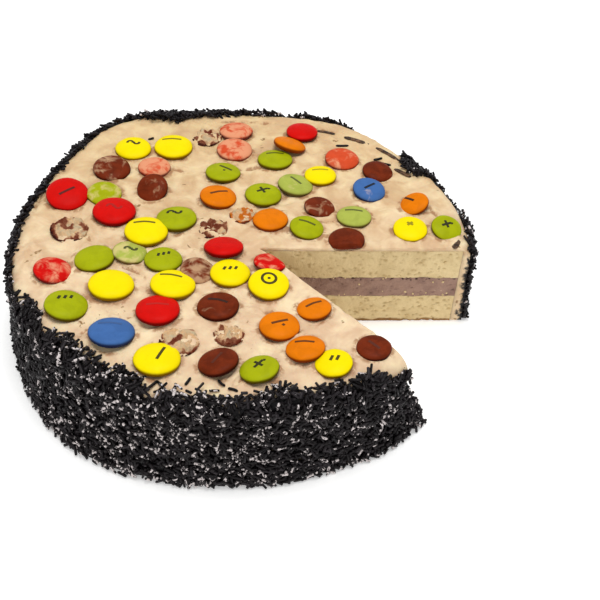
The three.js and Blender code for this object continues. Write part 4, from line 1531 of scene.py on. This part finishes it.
class CAKE_OT_stage(bpy.types.Operator):
    """Set the pale floor, the soft light and the camera"""

    bl_idname = "cake.stage"
    bl_label = "Stage"

    def execute(self, context):
        stage = context.scene.stage_settings
        bm = bmesh.new()
        bmesh.ops.create_grid(bm, x_segments=8, y_segments=8, size=3)
        bmesh.ops.translate(bm, verts=bm.verts, vec=(0, 0, -0.1 * MM))
        mesh = make_mesh(bm, "floor")
        material, tree, shader, place = new_material("Pale floor", 0.6)
        pale, _, _ = add_mottle(tree, place, stage.floor, tone(250, 250, 249), patch_scale=2.0,
                                grain_scale=60.0, amount=0.3)
        tree.links.new(pale, shader.inputs["Base Color"])
        shader.inputs["Emission Color"].default_value = (1, 1, 1, 1)
        shader.inputs["Emission Strength"].default_value = stage.glow
        mesh.materials.append(material)
        floor = bpy.data.objects.new("floor", mesh)
        context.scene.collection.objects.link(floor)
        for name, place, size, share in LIGHTS:
            self.add_light(name, place, size, share * stage.key)
        world = bpy.data.worlds.new("Even white")
        world.use_nodes = True
        background = world.node_tree.nodes["Background"]
        background.inputs["Color"].default_value = (1, 1, 1, 1)
        background.inputs["Strength"].default_value = stage.sky
        context.scene.world = world
        context.scene.view_settings.view_transform = "Standard"
        self.add_camera(context, stage.lens)
        return {"FINISHED"}

    @staticmethod
    def add_light(name, place, size, power):
        """A large soft light that faces the cake."""
        data = bpy.data.lights.new(name, "AREA")
        data.size = size
        data.energy = power
        light = bpy.data.objects.new(name, data)
        light.location = place
        light.rotation_euler = (Vector(place) - LIT_PLACE).to_track_quat("Z", "Y").to_euler()
        bpy.context.scene.collection.objects.link(light)

    @staticmethod
    def add_camera(context, lens):
        """The camera of the photograph: a little left of the cut, looking down at the cake."""
        yaw, pitch, roll = (math.radians(angle) for angle in CAMERA_TURN)
        ahead = Vector((math.sin(yaw) * math.cos(pitch), math.cos(yaw) * math.cos(pitch), -math.sin(pitch)))
        level = Vector((math.cos(yaw), -math.sin(yaw), 0))
        upward = level.cross(ahead)
        right = math.cos(roll) * level + math.sin(roll) * upward
        up = math.cos(roll) * upward - math.sin(roll) * level
        data = bpy.data.cameras.new("camera")
        data.lens = lens
        data.sensor_width = 36
        camera = bpy.data.objects.new("camera", data)
        turn = Matrix((right, up, -ahead)).transposed().to_4x4()
        camera.matrix_world = Matrix.Translation(CAMERA_PLACE) @ turn
        context.scene.collection.objects.link(camera)
        context.scene.camera = camera


class CAKE_PT_panel(bpy.types.Panel):
    """Buttons for the cake's pieces and their sizes"""

    bl_label = "Chocolate candy cake"
    bl_idname = "CAKE_PT_panel"
    bl_space_type = "VIEW_3D"
    bl_region_type = "UI"
    bl_category = "Cake"

    def draw(self, context):
        layout = self.layout
        for operator in OPERATORS:
            layout.operator(operator.bl_idname)
        for group_name in GROUPS:
            settings = getattr(context.scene, group_name)
            box = layout.box()
            for key in settings.__annotations__:
                box.prop(settings, key)


OPERATORS = (
    CAKE_OT_stage, CAKE_OT_sponge, CAKE_OT_filling, CAKE_OT_icing, CAKE_OT_sweets, CAKE_OT_ink,
    CAKE_OT_sunk_sweets, CAKE_OT_sprinkles, CAKE_OT_strays, CAKE_OT_crumbs,
)
GROUPS = {
    "cake_sizes": CakeSizes,
    "sprinkle_sizes": SprinkleSizes,
    "cake_colours": CakeColours,
    "sweet_colours": SweetColours,
    "stage_settings": StageSettings,
}


def register():
    """Registers the classes and puts the settings on the scene."""
    for one in (*GROUPS.values(), *OPERATORS, CAKE_PT_panel):
        bpy.utils.register_class(one)
    for name, group in GROUPS.items():
        setattr(bpy.types.Scene, name, PointerProperty(type=group))


def unregister():
    """Takes the settings and the classes away again."""
    for name in GROUPS:
        delattr(bpy.types.Scene, name)
    for one in (CAKE_PT_panel, *reversed(OPERATORS), *GROUPS.values()):
        bpy.utils.unregister_class(one)


def main():
    """Builds the whole scene."""
    register()
    for operator in OPERATORS:
        group, name = operator.bl_idname.split(".")
        getattr(getattr(bpy.ops, group), name)()


if __name__ == "__main__":
    main()
